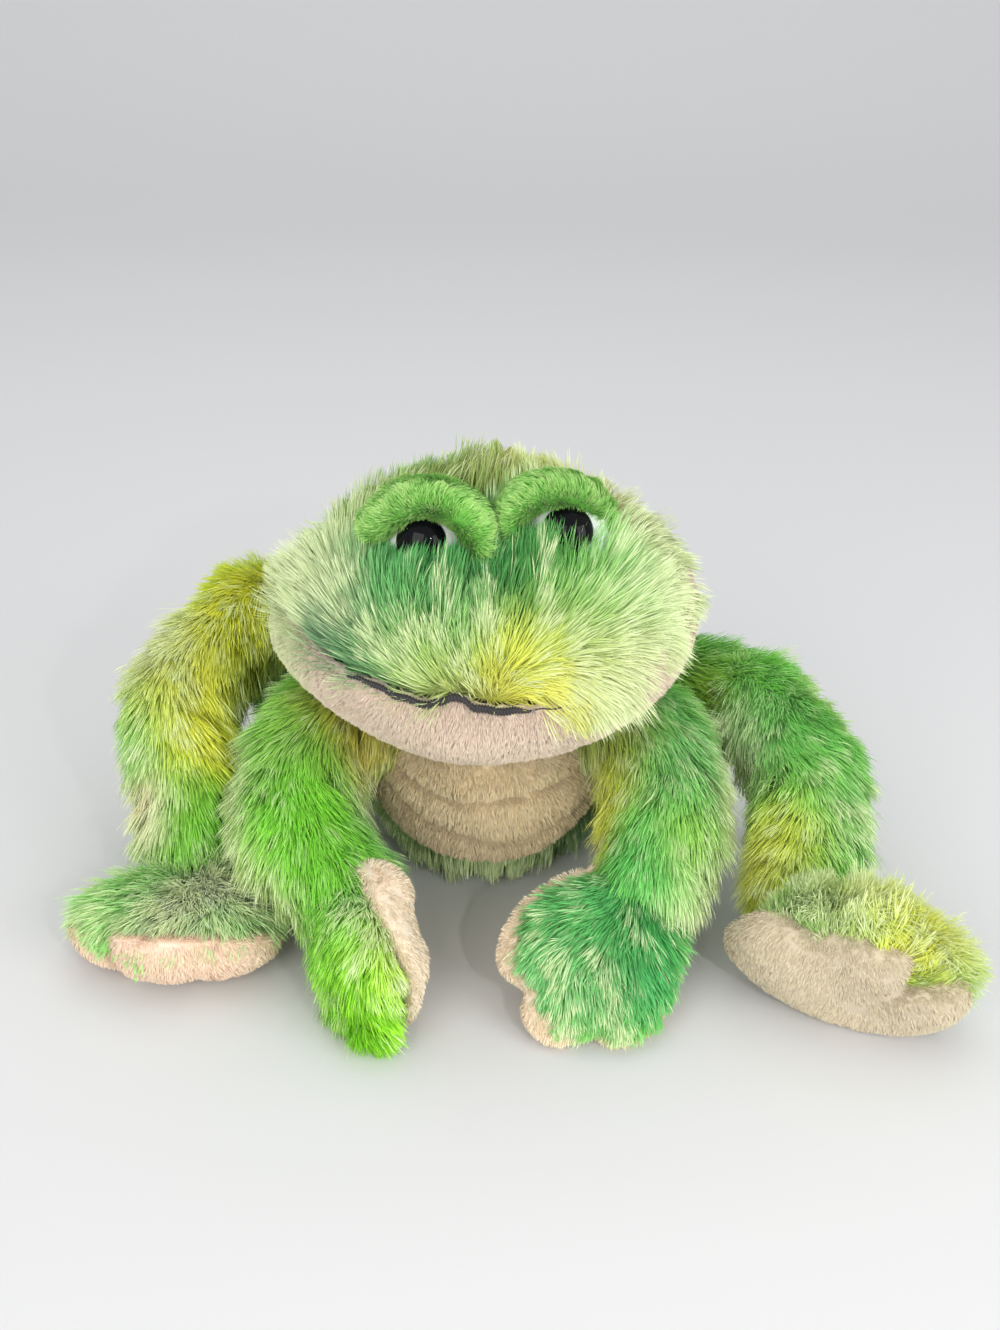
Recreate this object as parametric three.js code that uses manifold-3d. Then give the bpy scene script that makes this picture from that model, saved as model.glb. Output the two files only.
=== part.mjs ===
// A plush frog, laid on its seat with its head over its folded arms and its long legs bent beside it.
// Every limb is a stuffed tube of pile fabric, sewn to the next at a joint that flexes.
// Millimetres, +Z up, +X to the toy's own left-hand side as seen from in front, -Y the way it faces.
import * as THREE from "three";
import { mergeVertices } from "three/addons/utils/BufferGeometryUtils.js";
import Module from "manifold-3d";

const wasm = await Module();
wasm.setup();

// Seams and running room
const seamGap = 0.3;
const swingGap = 0.6;
const overrun = 3;
const ballRelief = 0.6;
const footRoom = 2.2;
const floorSink = 1.6;

// Torso, an egg whose beans settle over a flat seat
const torsoWidth = 86;
const torsoDepth = 102;
const torsoHeight = 79.2;
const settlePower = 3.4;
const bellyWidth = 70;
const bellyHeight = 52;
const bellyCentreHeight = 38.2;
const bellyCloth = 4;
const beanPocketDepth = 26;

// Head, a broad flattened ball, and the mouth that parts its jaw
const headWidth = 122;
const headDepth = 92;
const headHeight = 82;
const headAside = -2;
const headBack = 13;
const headSink = 22.4;
const headRollDegrees = 4;
const neckBack = 14;
const mouthHeight = 5.5;
const mouthCornerRise = 11;
const mouthHalfSpan = 48;
const stitchSpanShare = 0.92;
const jawBack = 12;
const muzzleSwell = 8;
const muzzleDropShare = 0.4;
const crownTaperShare = 0.16;
const stitchRadius = 1.1;

// Eyes: a stuffed white ball in a socket, a heavy lid and a domed plastic pupil on a washered stem
const eyeSpacing = 38;
const eyeBallRadius = 13;
const eyeAside = 6;
const eyeAhead = 18;
const eyeLift = 30.5;
const lidThickness = 4.5;
const lidOverhang = 3;
const lidMouthWidth = 27;
const lidMouthHeight = 21;
const lidMouthDrop = 9;
const pupilRadius = 7;
const pupilHeight = 4.6;
const stemRadius = 2;
const stemLength = 14;
const washerRadius = 5;
const washerThickness = 1.6;
const eyeTurnOutDegrees = 7;
const eyeTurnUpDegrees = 14;

// Arms: how far a bent arm stands out and reaches ahead, and how high up the torso it starts. As
// shares of these, out, ahead and up, follow the joint's place on the torso and the points of the
// arm's line: its root, upper arm, elbow, forearm and wrist.
const armSpread = 56;
const armReach = 84;
const armHeightShare = 0.682;
const shoulderShares = [0.884, 0.53, 0.672];
const shoulderRadius = 15;
const upperArmRadius = 18;
const forearmRadius = 19;
const wristRadius = 16;
const leftArmShares = [
  [0.5, 0.238, 1.004],
  [0.821, 0.405, 0.985],
  [0.911, 0.595, 0.837],
  [0.893, 0.798, 0.652],
  [0.75, 1, 0.522],
];
const rightArmShares = [
  [0.5, 0.238, 1.004],
  [0.839, 0.405, 1.004],
  [0.982, 0.595, 0.856],
  [1, 0.75, 0.689],
  [0.875, 0.917, 0.559],
];

// Legs: how far a bent leg stands out, reaches ahead and rises at the knee. As shares of these follow
// the joint's place and the leg's root, thigh, rise, knee, shin and ankle.
const legSpread = 102;
const legReach = 74;
const kneeHeight = 74;
const hipShares = [0.79, -0.392, 0.495];
const thighRadius = 16.5;
const kneeRadius = 16.5;
const shinRadius = 16.5;
const ankleRadius = 14;
const leftLegShares = [
  [0.235, -0.27, 0.509],
  [0.49, -0.27, 0.652],
  [0.676, -0.189, 0.886],
  [0.794, -0.081, 1.003],
  [1, 0.297, 0.743],
  [0.902, 0.676, 0.367],
];
const rightLegShares = [
  [0.235, -0.27, 0.509],
  [0.471, -0.216, 0.587],
  [0.667, -0.054, 0.665],
  [0.853, 0.108, 0.665],
  [1, 0.514, 0.535],
  [0.931, 1, 0.327],
];

// Hands and feet: webbed paddles with three soft toes, a pile back and a short-napped palm or sole
const handLength = 58;
const handWidth = 56;
const handThickness = 25;
const footLength = 50;
const footWidth = 68;
const footThickness = 26;
const toeNotchShare = 0.16;
const heelTaperShare = 0.3;
const palmShare = 0.12;
const leftHandReachShare = 0.4;
const rightHandReachShare = 0.5;
const beanBagShare = 0.42;
const beanBagPlaceShare = 0.12;
const leftFootShares = [-0.04, 0.6, -0.3];
const rightFootShares = [0.22, 0.58, -0.08];
const bagCloth = 1.2;

// How far each joint turns, in degrees
const neckRange = [-3, 22];
const shoulderRange = [-4, 30];
const wristRange = [-20, 25];
const hipRange = [0, 30];
const kneeRange = [-25, 3];
const ankleRange = [-20, 20];

// Facets
const roundSides = 24;
const roundRings = 14;
const tubeSides = 14;
const tubeSteps = 8;
const capRings = 3;
const paddleSides = 26;
const paddleRings = 8;
const eyeSides = 14;
const eyeRings = 8;
const cutterSides = 12;
const cutterRings = 8;
const cutterTubeSteps = 4;
const sweepStepDegrees = 10;

const torsoCentreHeight = torsoHeight / 2 - floorSink;
const headAhead = torsoDepth / 2 - headBack;
const headCentreHeight = torsoHeight - floorSink + headHeight / 2 - headSink;
const radians = THREE.MathUtils.degToRad;

// Closed geometry to solid, and back to geometry
function solidOf(geometry) {
  const bare = geometry.clone();
  bare.deleteAttribute("normal");
  bare.deleteAttribute("uv");
  const merged = mergeVertices(bare.index ? bare.toNonIndexed() : bare, seamGap / 300);
  return new wasm.Manifold(
    new wasm.Mesh({
      numProp: 3,
      vertProperties: merged.attributes.position.array,
      triVerts: new Uint32Array(merged.index.array),
    }),
  );
}

function geometryOf(solid) {
  const bodies = solid.decompose();
  const whole = bodies.sort((a, b) => b.volume() - a.volume())[0];
  const mesh = whole.getMesh();
  const geometry = new THREE.BufferGeometry();
  geometry.setAttribute("position", new THREE.BufferAttribute(mesh.vertProperties, 3));
  geometry.setIndex(new THREE.BufferAttribute(mesh.triVerts, 1));
  geometry.computeVertexNormals();
  return geometry;
}

// A point out to one side of the toy, ahead of its middle and up, as shares of three sizes
const torsoSize = [torsoWidth / 2, torsoDepth / 2, torsoHeight];
const armSize = [armSpread, armReach, armHeightShare * torsoHeight];
const legSize = [legSpread, legReach, kneeHeight];
const footSize = [footLength, footLength, footLength];
function place(side, shares, size) {
  const [out, ahead, up] = shares.map((share, k) => share * size[k]);
  return new THREE.Vector3(side * out, -ahead, up);
}

// A grid of points closed over itself round each ring, with a pole at either end
function closedGrid(rings, sides, pointAt) {
  const positions = [];
  const faces = [];
  const first = pointAt(0, 0);
  positions.push(first.x, first.y, first.z);
  for (let i = 1; i < rings; i += 1) {
    for (let j = 0; j < sides; j += 1) {
      const p = pointAt(i / rings, j / sides);
      positions.push(p.x, p.y, p.z);
    }
  }
  const last = pointAt(1, 0);
  positions.push(last.x, last.y, last.z);
  const end = positions.length / 3 - 1;
  const at = (i, j) => 1 + (i - 1) * sides + (j % sides);
  for (let j = 0; j < sides; j += 1) {
    faces.push(0, at(1, j), at(1, j + 1));
    faces.push(end, at(rings - 1, j + 1), at(rings - 1, j));
    for (let i = 1; i < rings - 1; i += 1) {
      faces.push(at(i, j), at(i + 1, j), at(i + 1, j + 1));
      faces.push(at(i, j), at(i + 1, j + 1), at(i, j + 1));
    }
  }
  const geometry = new THREE.BufferGeometry();
  geometry.setAttribute("position", new THREE.Float32BufferAttribute(positions, 3));
  geometry.setIndex(faces);
  return geometry;
}

// A stuffed ball with three half sizes. Its surface may be pushed out by a swell function, and its
// lower half is rounder than an oval's where a power over 2 lets it settle.
function ball(half, rings, sides, swell = (p) => p, power = 2) {
  return closedGrid(rings, sides, (i, j) => {
    const level = Math.cos(Math.PI * i);
    const k = level < 0 ? power : 2;
    const reach = Math.max(0, 1 - Math.abs(level) ** k) ** (1 / k);
    const round = 2 * Math.PI * j;
    const p = new THREE.Vector3(reach * Math.cos(round), reach * Math.sin(round), level);
    return swell(p.multiply(half), half);
  });
}

// A stuffed tube along a smooth line, with its radius eased between the named ones and round ends
function stuffedTube(line, radii, grow, steps, sides) {
  const curve = new THREE.CatmullRomCurve3(line, false, "centripetal");
  const frames = curve.computeFrenetFrames(steps, false);
  const radiusAt = (share) => {
    const spot = share * (radii.length - 1);
    const before = Math.min(Math.floor(spot), radii.length - 2);
    return THREE.MathUtils.lerp(radii[before], radii[before + 1], spot - before) + grow;
  };
  const rings = steps + 2 * capRings;
  return closedGrid(rings, sides, (i, j) => {
    const ring = Math.round(i * rings);
    const step = THREE.MathUtils.clamp(ring - capRings, 0, steps);
    const past = ring - capRings - step;
    const tilt = (Math.abs(past) / capRings) * (Math.PI / 2);
    const radius = radiusAt(step / steps);
    const round = 2 * Math.PI * j;
    return curve
      .getPoint(step / steps)
      .addScaledVector(frames.tangents[step], Math.sign(past) * radius * Math.sin(tilt))
      .addScaledVector(frames.normals[step], radius * Math.cos(tilt) * Math.cos(round))
      .addScaledVector(frames.binormals[step], -radius * Math.cos(tilt) * Math.sin(round));
  });
}

// A webbed paddle: its outline is an oval drawn in at the heel, with two notches between three toes
function paddle(size, grow, rings, sides) {
  return closedGrid(rings, sides, (i, j) => {
    const up = Math.PI * (0.5 - i);
    const round = 2 * Math.PI * j;
    const toward = Math.max(0, Math.cos(round));
    const lobes = 1 - toeNotchShare * toward * (1 - Math.cos(6 * round)) * 0.5;
    const heel = 1 - heelTaperShare * (0.5 - 0.5 * Math.cos(round)) ** 1.5;
    const flat = Math.cos(up) ** 0.75;
    return new THREE.Vector3(
      (size.length / 2 + grow) * lobes * flat * Math.cos(round),
      (size.width / 2 + grow) * lobes * heel * flat * Math.sin(round),
      (size.thickness / 2 + grow) * Math.sin(up),
    );
  });
}

// The matrix of a paddle: its length runs forward, and its palm or sole faces the given way
function facing(centre, forward, palmWay) {
  const along = forward.clone().normalize();
  const across = new THREE.Vector3().crossVectors(palmWay, along).normalize();
  const palm = new THREE.Vector3().crossVectors(along, across);
  return new THREE.Matrix4().makeBasis(along, across, palm).setPosition(centre);
}

// A turn about an axis through a point
function turn(hinge, degrees) {
  const there = new THREE.Matrix4().makeTranslation(hinge.at);
  const back = new THREE.Matrix4().makeTranslation(hinge.at.clone().negate());
  const spin = new THREE.Matrix4().makeRotationAxis(hinge.axis, radians(degrees));
  return there.multiply(spin).multiply(back);
}

// Everything that a neighbour passes through while a joint turns over its range
function swept(geometry, hinge, range) {
  const count = Math.ceil((range[1] - range[0]) / sweepStepDegrees);
  let all = solidOf(geometry);
  for (let i = 0; i <= count; i += 1) {
    const degrees = THREE.MathUtils.lerp(range[0], range[1], i / count);
    all = all.add(solidOf(geometry.clone().applyMatrix4(turn(hinge, degrees))));
  }
  return all;
}

// What a limb leaves free for the piece hinged on its round end: the ball of the end itself,
// and the limb as it stands at the joint's limits and at rest
function jointRoom(limbForm, hinge, radius, range) {
  const half = new THREE.Vector3().setScalar(radius + swingGap + ballRelief);
  const centre = ball(half, cutterRings, cutterSides).translate(hinge.at.x, hinge.at.y, hinge.at.z);
  let all = solidOf(centre);
  for (const degrees of [range[0], 0, range[1]]) {
    all = all.add(solidOf(limbForm.clone().applyMatrix4(turn(hinge, degrees))));
  }
  return all;
}

// The neighbour's own joint turned the other way is how it passes a piece that moves
const backwards = (range) => [-range[1], -range[0]];

const toy = new THREE.Group();
const hinges = [];
function addHinge(name, parent, child, hinge, range) {
  hinges.push({ name, parent, child, at: hinge.at.clone(), axis: hinge.axis.clone(), range });
}

function addPiece(name, solid, colour, roughness, metalness = 0) {
  const material = new THREE.MeshStandardMaterial({ color: colour, roughness, metalness });
  const mesh = new THREE.Mesh(geometryOf(solid), material);
  mesh.name = name;
  toy.add(mesh);
}

const pileGreen = 0x7cc65a;
const limeGreen = 0x9ad24e;
const lidGreen = 0x4db848;
const cream = 0xeadfc4;
const jawPink = 0xe6d2bf;
const feltWhite = 0xf4f4f0;
const gloss = 0x0a0a0c;
const pouchCloth = 0xd8d4c8;

// The floor, below which every resting piece is flattened
const room = 4 * (torsoWidth + torsoDepth);
const underFloor = solidOf(
  new THREE.BoxGeometry(room, room, room).translate(0, 0, -room / 2),
);

// Torso and head forms, grown by a gap where they cut their neighbours
function torsoForm(grow, rings = roundRings, sides = roundSides) {
  const half = new THREE.Vector3(torsoWidth, torsoDepth, torsoHeight).multiplyScalar(0.5);
  half.addScalar(grow);
  return ball(half, rings, sides, undefined, settlePower).translate(0, 0, torsoCentreHeight);
}

const headPlace = new THREE.Matrix4()
  .makeRotationY(-radians(headRollDegrees))
  .setPosition(headAside, -headAhead, headCentreHeight);

// The crown narrows towards the top, and the muzzle swells forward round the middle of the face
function muzzle(p, half) {
  p.x *= 1 - crownTaperShare * Math.max(0, p.z / half.z) ** 1.5;
  const ahead = Math.max(0, -p.y / half.y);
  const low = 1 - Math.abs(p.z / half.z + muzzleDropShare);
  p.y -= muzzleSwell * ahead * Math.max(0, low);
  return p;
}

function headForm(grow, rings = roundRings, sides = roundSides) {
  const half = new THREE.Vector3(headWidth, headDepth, headHeight).multiplyScalar(0.5);
  half.addScalar(grow);
  return ball(half, rings, sides, muzzle);
}

const lateral = new THREE.Vector3(1, 0, 0);
const neckHinge = {
  at: new THREE.Vector3(0, neckBack - headAhead, headCentreHeight - headHeight / 2 + overrun),
  axis: lateral.clone().negate(),
};
addHinge("neck_nod", "torso", "head", neckHinge, neckRange);
const headSwept = (grow) =>
  swept(headForm(grow).applyMatrix4(headPlace), neckHinge, neckRange);

// Belly panel: an oval let into the front of the torso, over the pocket that holds the bean bag
function bellyOval(inset, front, back) {
  const oval = new THREE.Shape();
  oval.absellipse(0, 0, bellyWidth / 2 - inset, bellyHeight / 2 - inset, 0, 2 * Math.PI);
  const prism = new THREE.ExtrudeGeometry(oval, {
    depth: back - front,
    bevelEnabled: false,
    curveSegments: 14,
  });
  return solidOf(prism.rotateX(Math.PI / 2).translate(0, back, bellyCentreHeight));
}

const torsoFront = -torsoDepth / 2 - overrun;
const pocketBack = -torsoDepth / 2 + beanPocketDepth;
const neckRoom = headSwept(swingGap);
const torsoWhole = solidOf(torsoForm(0)).subtract(underFloor).subtract(neckRoom);
const innerSkin = solidOf(torsoForm(-bellyCloth));
addPiece("torso", torsoWhole.subtract(bellyOval(0, torsoFront, pocketBack)), pileGreen, 0.95);
addPiece(
  "belly_panel",
  torsoWhole.intersect(bellyOval(seamGap, torsoFront, pocketBack)).subtract(innerSkin),
  cream,
  0.95,
);
addPiece(
  "bean_bag_torso",
  solidOf(torsoForm(-bellyCloth - seamGap))
    .subtract(neckRoom)
    .intersect(bellyOval(seamGap, torsoFront, pocketBack - seamGap)),
  pouchCloth,
  0.8,
);

// Head: the pile cap and the jaw part along the mouth, which rises to its corners
const headHalf = new THREE.Vector3(headWidth, headDepth, headHeight).multiplyScalar(0.5);
function mouthLevel(across) {
  return mouthCornerRise * (across / mouthHalfSpan) ** 2 - mouthHeight;
}

function jawRegion(inset) {
  const outline = new THREE.Shape();
  const steps = 12;
  const reach = headHalf.x + overrun;
  outline.moveTo(-reach, -room);
  for (let i = 0; i <= steps; i += 1) {
    const across = THREE.MathUtils.lerp(-reach, reach, i / steps);
    outline.lineTo(across, mouthLevel(across) - inset);
  }
  outline.lineTo(reach, -room);
  const depth = headHalf.y + muzzleSwell + overrun + jawBack - inset;
  const prism = new THREE.ExtrudeGeometry(outline, { depth, bevelEnabled: false });
  return solidOf(prism.rotateX(Math.PI / 2).translate(0, jawBack - inset, 0).applyMatrix4(headPlace));
}

const headWhole = solidOf(headForm(0).applyMatrix4(headPlace));

// Each eye in the head's own frame: its centre, and the way that its pupil looks
function eyeFrame(side) {
  const centre = new THREE.Vector3(eyeAside + (side * eyeSpacing) / 2, -eyeAhead, eyeLift);
  const look = new THREE.Matrix4()
    .makeRotationZ(side * radians(eyeTurnOutDegrees))
    .multiply(new THREE.Matrix4().makeRotationX(-radians(eyeTurnUpDegrees)));
  return headPlace.clone().multiply(look.clone().setPosition(centre));
}

// Round pieces on the eye's axis, turned from a profile of radius against distance ahead
function turned(profile, sides, frame) {
  const points = profile.map(([radius, ahead]) => new THREE.Vector2(radius, ahead));
  const geometry = new THREE.LatheGeometry(points, sides).rotateX(Math.PI);
  return solidOf(geometry.applyMatrix4(frame));
}

const pupilSeat = Math.sqrt(eyeBallRadius ** 2 - pupilRadius ** 2);
const stemEnd = pupilSeat - stemLength;

function cylinderProfile(radius, from, to) {
  return [[0, from], [radius, from], [radius, to], [0, to]];
}

function domeProfile() {
  const profile = [[0, stemEnd], [stemRadius, stemEnd], [stemRadius, pupilSeat]];
  const steps = 5;
  for (let i = 0; i < steps; i += 1) {
    const rise = (Math.PI / 2) * (i / steps);
    profile.push([pupilRadius * Math.cos(rise), pupilSeat + pupilHeight * Math.sin(rise)]);
  }
  profile.push([0, pupilSeat + pupilHeight]);
  return profile;
}

let headUpper = headWhole.subtract(jawRegion(0));
const eyeBallHalf = new THREE.Vector3().setScalar(eyeBallRadius);
const lidHalf = new THREE.Vector3(
  eyeBallRadius + lidThickness + lidOverhang,
  eyeBallRadius + lidThickness,
  eyeBallRadius + lidThickness,
);

for (const side of [-1, 1]) {
  const word = side < 0 ? "left" : "right";
  const frame = eyeFrame(side);
  const grown = (gap) => solidOf(
    ball(eyeBallHalf.clone().addScalar(gap), eyeRings, eyeSides).applyMatrix4(frame),
  );
  const washerBack = stemEnd + seamGap;
  const washerFront = washerBack + washerThickness;
  const pupilHole = turned(
    cylinderProfile(pupilRadius + seamGap, pupilSeat - seamGap, eyeBallRadius + overrun),
    cutterSides,
    frame,
  );
  headUpper = headUpper.subtract(grown(seamGap)).subtract(pupilHole);
  const stemBore = turned(
    cylinderProfile(stemRadius + seamGap, -eyeBallRadius - overrun, eyeBallRadius),
    cutterSides,
    frame,
  );
  const washerRecess = turned(
    cylinderProfile(washerRadius + seamGap, -eyeBallRadius - overrun, washerFront + seamGap),
    cutterSides,
    frame,
  );
  addPiece(
    `eyeball_${word}`,
    grown(0).subtract(pupilHole).subtract(stemBore).subtract(washerRecess),
    feltWhite,
    0.9,
  );
  addPiece(`pupil_${word}`, turned(domeProfile(), eyeSides, frame), gloss, 0.08);
  const washer = turned(cylinderProfile(washerRadius, washerBack, washerFront), cutterSides, frame);
  addPiece(`eye_washer_${word}`, washer.subtract(stemBore), pouchCloth, 0.5);

  // The lid wraps the top of the ball, and is cut away in an arch over the pupil
  const arch = ball(
    new THREE.Vector3(lidMouthWidth, 2 * eyeBallRadius, lidMouthHeight).multiplyScalar(0.5),
    eyeRings,
    eyeSides,
  ).translate(0, -eyeBallRadius - lidThickness, -lidMouthDrop);
  const belowLid = new THREE.BoxGeometry(room, room, room)
    .translate(0, 0, -room / 2 - lidMouthDrop)
    .applyMatrix4(frame);
  const lid = solidOf(ball(lidHalf, eyeRings, eyeSides).applyMatrix4(frame))
    .subtract(grown(seamGap))
    .subtract(solidOf(arch.applyMatrix4(frame)))
    .subtract(solidOf(belowLid))
    .subtract(pupilHole)
    .subtract(solidOf(headForm(seamGap).applyMatrix4(headPlace)));
  addPiece(`eyelid_${word}`, lid, lidGreen, 0.9);
}
addPiece("head_upper", headUpper, pileGreen, 0.95);
addPiece("lower_jaw", headWhole.intersect(jawRegion(seamGap)), jawPink, 0.95);

// Mouth: a thick satin stitch laid on the seam, along the head's own surface
function facePoint(across, level, proud) {
  const half = headHalf.clone().addScalar(proud);
  const share = 1 - (across / half.x) ** 2 - (level / half.z) ** 2;
  const p = new THREE.Vector3(across, -half.y * Math.sqrt(Math.max(0, share)), level);
  return muzzle(p, half).applyMatrix4(headPlace);
}

const stitchLine = [];
const stitchSteps = 16;
for (let i = 0; i <= stitchSteps; i += 1) {
  const across = THREE.MathUtils.lerp(-1, 1, i / stitchSteps) * mouthHalfSpan * stitchSpanShare;
  stitchLine.push(facePoint(across, mouthLevel(across), stitchRadius + 2 * seamGap));
}
const stitchSection = new THREE.Shape();
stitchSection.absarc(0, 0, stitchRadius, 0, 2 * Math.PI);
const stitch = new THREE.ExtrudeGeometry(stitchSection, {
  steps: 2 * stitchSteps,
  curveSegments: 3,
  extrudePath: new THREE.CatmullRomCurve3(stitchLine),
});
addPiece("mouth_stitch", solidOf(stitch), gloss, 0.6);

// Arms, each cut by the torso and the head over all that they pass through
function lineOf(side, rows, size) {
  return rows.map((shares) => place(side, shares, size));
}

const armRadii = [shoulderRadius, upperArmRadius, upperArmRadius, forearmRadius, wristRadius];
function armForm(side, shares, grow, steps = tubeSteps) {
  return stuffedTube(lineOf(side, shares, armSize), armRadii, grow, steps, tubeSides);
}

// A hand or foot: its back, its palm or sole, and the little bean bag between them
function addPaddle(names, size, frame, cutter, colour) {
  const whole = solidOf(paddle(size, 0, paddleRings, paddleSides).applyMatrix4(frame))
    .subtract(underFloor)
    .subtract(cutter);
  const seam = palmShare * size.thickness;
  const palmSide = (from) =>
    solidOf(new THREE.BoxGeometry(room, room, room).translate(0, 0, from + room / 2).applyMatrix4(frame));
  const bagSize = new THREE.Vector3(size.length, size.width, size.thickness);
  const bagForm = (grow) => {
    const half = bagSize.clone().multiplyScalar(beanBagShare / 2).addScalar(grow);
    const ahead = beanBagPlaceShare * size.length;
    const bag = ball(half, cutterRings, cutterSides).translate(ahead, 0, seam);
    return solidOf(bag.applyMatrix4(frame)).subtract(underFloor.translate(0, 0, bagCloth - grow));
  };
  addPiece(names[0], whole.subtract(palmSide(seam)).subtract(bagForm(seamGap)), colour, 0.95);
  addPiece(names[1], whole.intersect(palmSide(seam + seamGap)), cream, 0.95);
  addPiece(names[2], bagForm(0).subtract(palmSide(seam)), pouchCloth, 0.8);
}

const hand = { length: handLength, width: handWidth, thickness: handThickness };
const foot = { length: footLength, width: footWidth, thickness: footThickness };
const sides = [
  {
    word: "left",
    side: -1,
    arm: leftArmShares,
    leg: leftLegShares,
    foot: leftFootShares,
    handReach: leftHandReachShare,
    handForward: new THREE.Vector3(0.32, -0.78, -0.5),
    handPalm: new THREE.Vector3(0.85, 0.15, -0.15),
    footForward: new THREE.Vector3(-0.1, -0.95, 0.14),
    footSole: new THREE.Vector3(0, -0.2, -0.95),
  },
  {
    word: "right",
    side: 1,
    arm: rightArmShares,
    leg: rightLegShares,
    foot: rightFootShares,
    handReach: rightHandReachShare,
    handForward: new THREE.Vector3(-0.55, -0.75, -0.46),
    handPalm: new THREE.Vector3(-0.45, -0.05, -0.85),
    footForward: new THREE.Vector3(0.1, -0.35, 0.9),
    footSole: new THREE.Vector3(-0.3, -0.9, -0.3),
  },
];

for (const limb of sides) {
  const { word, side } = limb;
  const shoulderAt = place(side, shoulderShares, torsoSize);
  const shoulderHinge = { at: shoulderAt, axis: lateral.clone().negate() };
  const torsoPast = swept(
    torsoForm(swingGap),
    shoulderHinge,
    backwards(shoulderRange),
  );
  const headPast = swept(
    headForm(swingGap).applyMatrix4(headPlace),
    shoulderHinge,
    backwards(shoulderRange),
  );
  const arm = solidOf(armForm(side, limb.arm, 0))
    .subtract(torsoPast)
    .subtract(headPast)
    .subtract(neckRoom);
  addPiece(`arm_${word}`, arm, pileGreen, 0.95);
  addHinge(`shoulder_${word}`, "torso", `arm_${word}`, shoulderHinge, shoulderRange);

  const wrist = place(side, limb.arm.at(-1), armSize);
  const reach = limb.handForward.clone().setLength(limb.handReach * hand.length);
  const handFrame = facing(wrist.clone().add(reach), limb.handForward, limb.handPalm);
  const acrossHand = new THREE.Vector3().setFromMatrixColumn(handFrame, 1);
  const wristHinge = { at: wrist, axis: acrossHand };
  addHinge(`wrist_${word}`, `arm_${word}`, `hand_${word}`, wristHinge, wristRange);
  const armPast = jointRoom(
    armForm(side, limb.arm, swingGap, cutterTubeSteps),
    wristHinge,
    wristRadius,
    backwards(wristRange),
  );
  addPaddle(
    [`hand_${word}`, `palm_${word}`, `bean_bag_hand_${word}`],
    hand,
    handFrame,
    armPast,
    side < 0 ? limeGreen : pileGreen,
  );
}

// Legs, each piece cut by the one nearer the body over the joint's whole range
const thighRadii = [thighRadius, thighRadius, thighRadius, kneeRadius];
const shinRadii = [kneeRadius, shinRadius, ankleRadius];
for (const limb of sides) {
  const { word, side, leg } = limb;
  const line = lineOf(side, leg, legSize);
  const kneeStop = thighRadii.length - 1;
  const thighForm = (grow, steps) =>
    stuffedTube(line.slice(0, kneeStop + 1), thighRadii, grow, steps, tubeSides);
  const shinForm = (grow, steps) =>
    stuffedTube(line.slice(kneeStop), shinRadii, grow, steps, tubeSides);

  const hipAt = place(side, hipShares, torsoSize);
  const hipHinge = { at: hipAt, axis: new THREE.Vector3(0, 0, side) };
  const torsoPast = swept(
    torsoForm(swingGap),
    hipHinge,
    backwards(hipRange),
  );
  const thigh = solidOf(thighForm(0, tubeSteps)).subtract(torsoPast).subtract(neckRoom);
  addPiece(`thigh_${word}`, thigh.subtract(underFloor), pileGreen, 0.95);
  addHinge(`hip_${word}`, "torso", `thigh_${word}`, hipHinge, hipRange);

  const armPast = swept(
    armForm(side, limb.arm, footRoom),
    { at: place(side, shoulderShares, torsoSize), axis: lateral.clone().negate() },
    [shoulderRange[0], 0],
  );
  const knee = line[kneeStop];
  const hipToKnee = knee.clone().sub(line[kneeStop - 1]);
  const kneeToAnkle = line[kneeStop + 1].clone().sub(knee);
  const bend = new THREE.Vector3().crossVectors(hipToKnee, kneeToAnkle).normalize();
  const kneeHinge = { at: knee, axis: bend };
  addHinge(`knee_${word}`, `thigh_${word}`, `shin_${word}`, kneeHinge, kneeRange);
  const thighPast = jointRoom(
    thighForm(swingGap, cutterTubeSteps),
    kneeHinge,
    kneeRadius,
    backwards(kneeRange),
  );
  const shin = solidOf(shinForm(0, tubeSteps))
    .subtract(thighPast)
    .subtract(armPast)
    .subtract(neckRoom)
    .subtract(underFloor);
  addPiece(`shin_${word}`, shin, side < 0 ? limeGreen : pileGreen, 0.95);

  const ankle = line.at(-1);
  const footCentre = place(side, limb.foot, footSize);
  const footFrame = facing(footCentre.add(ankle), limb.footForward, limb.footSole);
  const ankleHinge = { at: ankle, axis: new THREE.Vector3().setFromMatrixColumn(footFrame, 1) };
  addHinge(`ankle_${word}`, `shin_${word}`, `foot_${word}`, ankleHinge, ankleRange);
  const shinPast = jointRoom(
    shinForm(swingGap, cutterTubeSteps),
    ankleHinge,
    ankleRadius,
    backwards(ankleRange),
  );
  addPaddle(
    [`foot_${word}`, `sole_${word}`, `bean_bag_foot_${word}`],
    foot,
    footFrame,
    shinPast.add(armPast),
    pileGreen,
  );
}

// The origin is the middle of the footprint, on the floor
const bounds = new THREE.Box3().setFromObject(toy);
const middle = bounds.getCenter(new THREE.Vector3());
toy.position.set(-middle.x, -middle.y, -bounds.min.z);
for (const hinge of hinges) {
  hinge.at.add(toy.position);
}
toy.userData.hinges = hinges;

export default toy;
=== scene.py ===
import bpy
import numpy as np
from mathutils import Euler, Matrix, Vector


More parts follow.
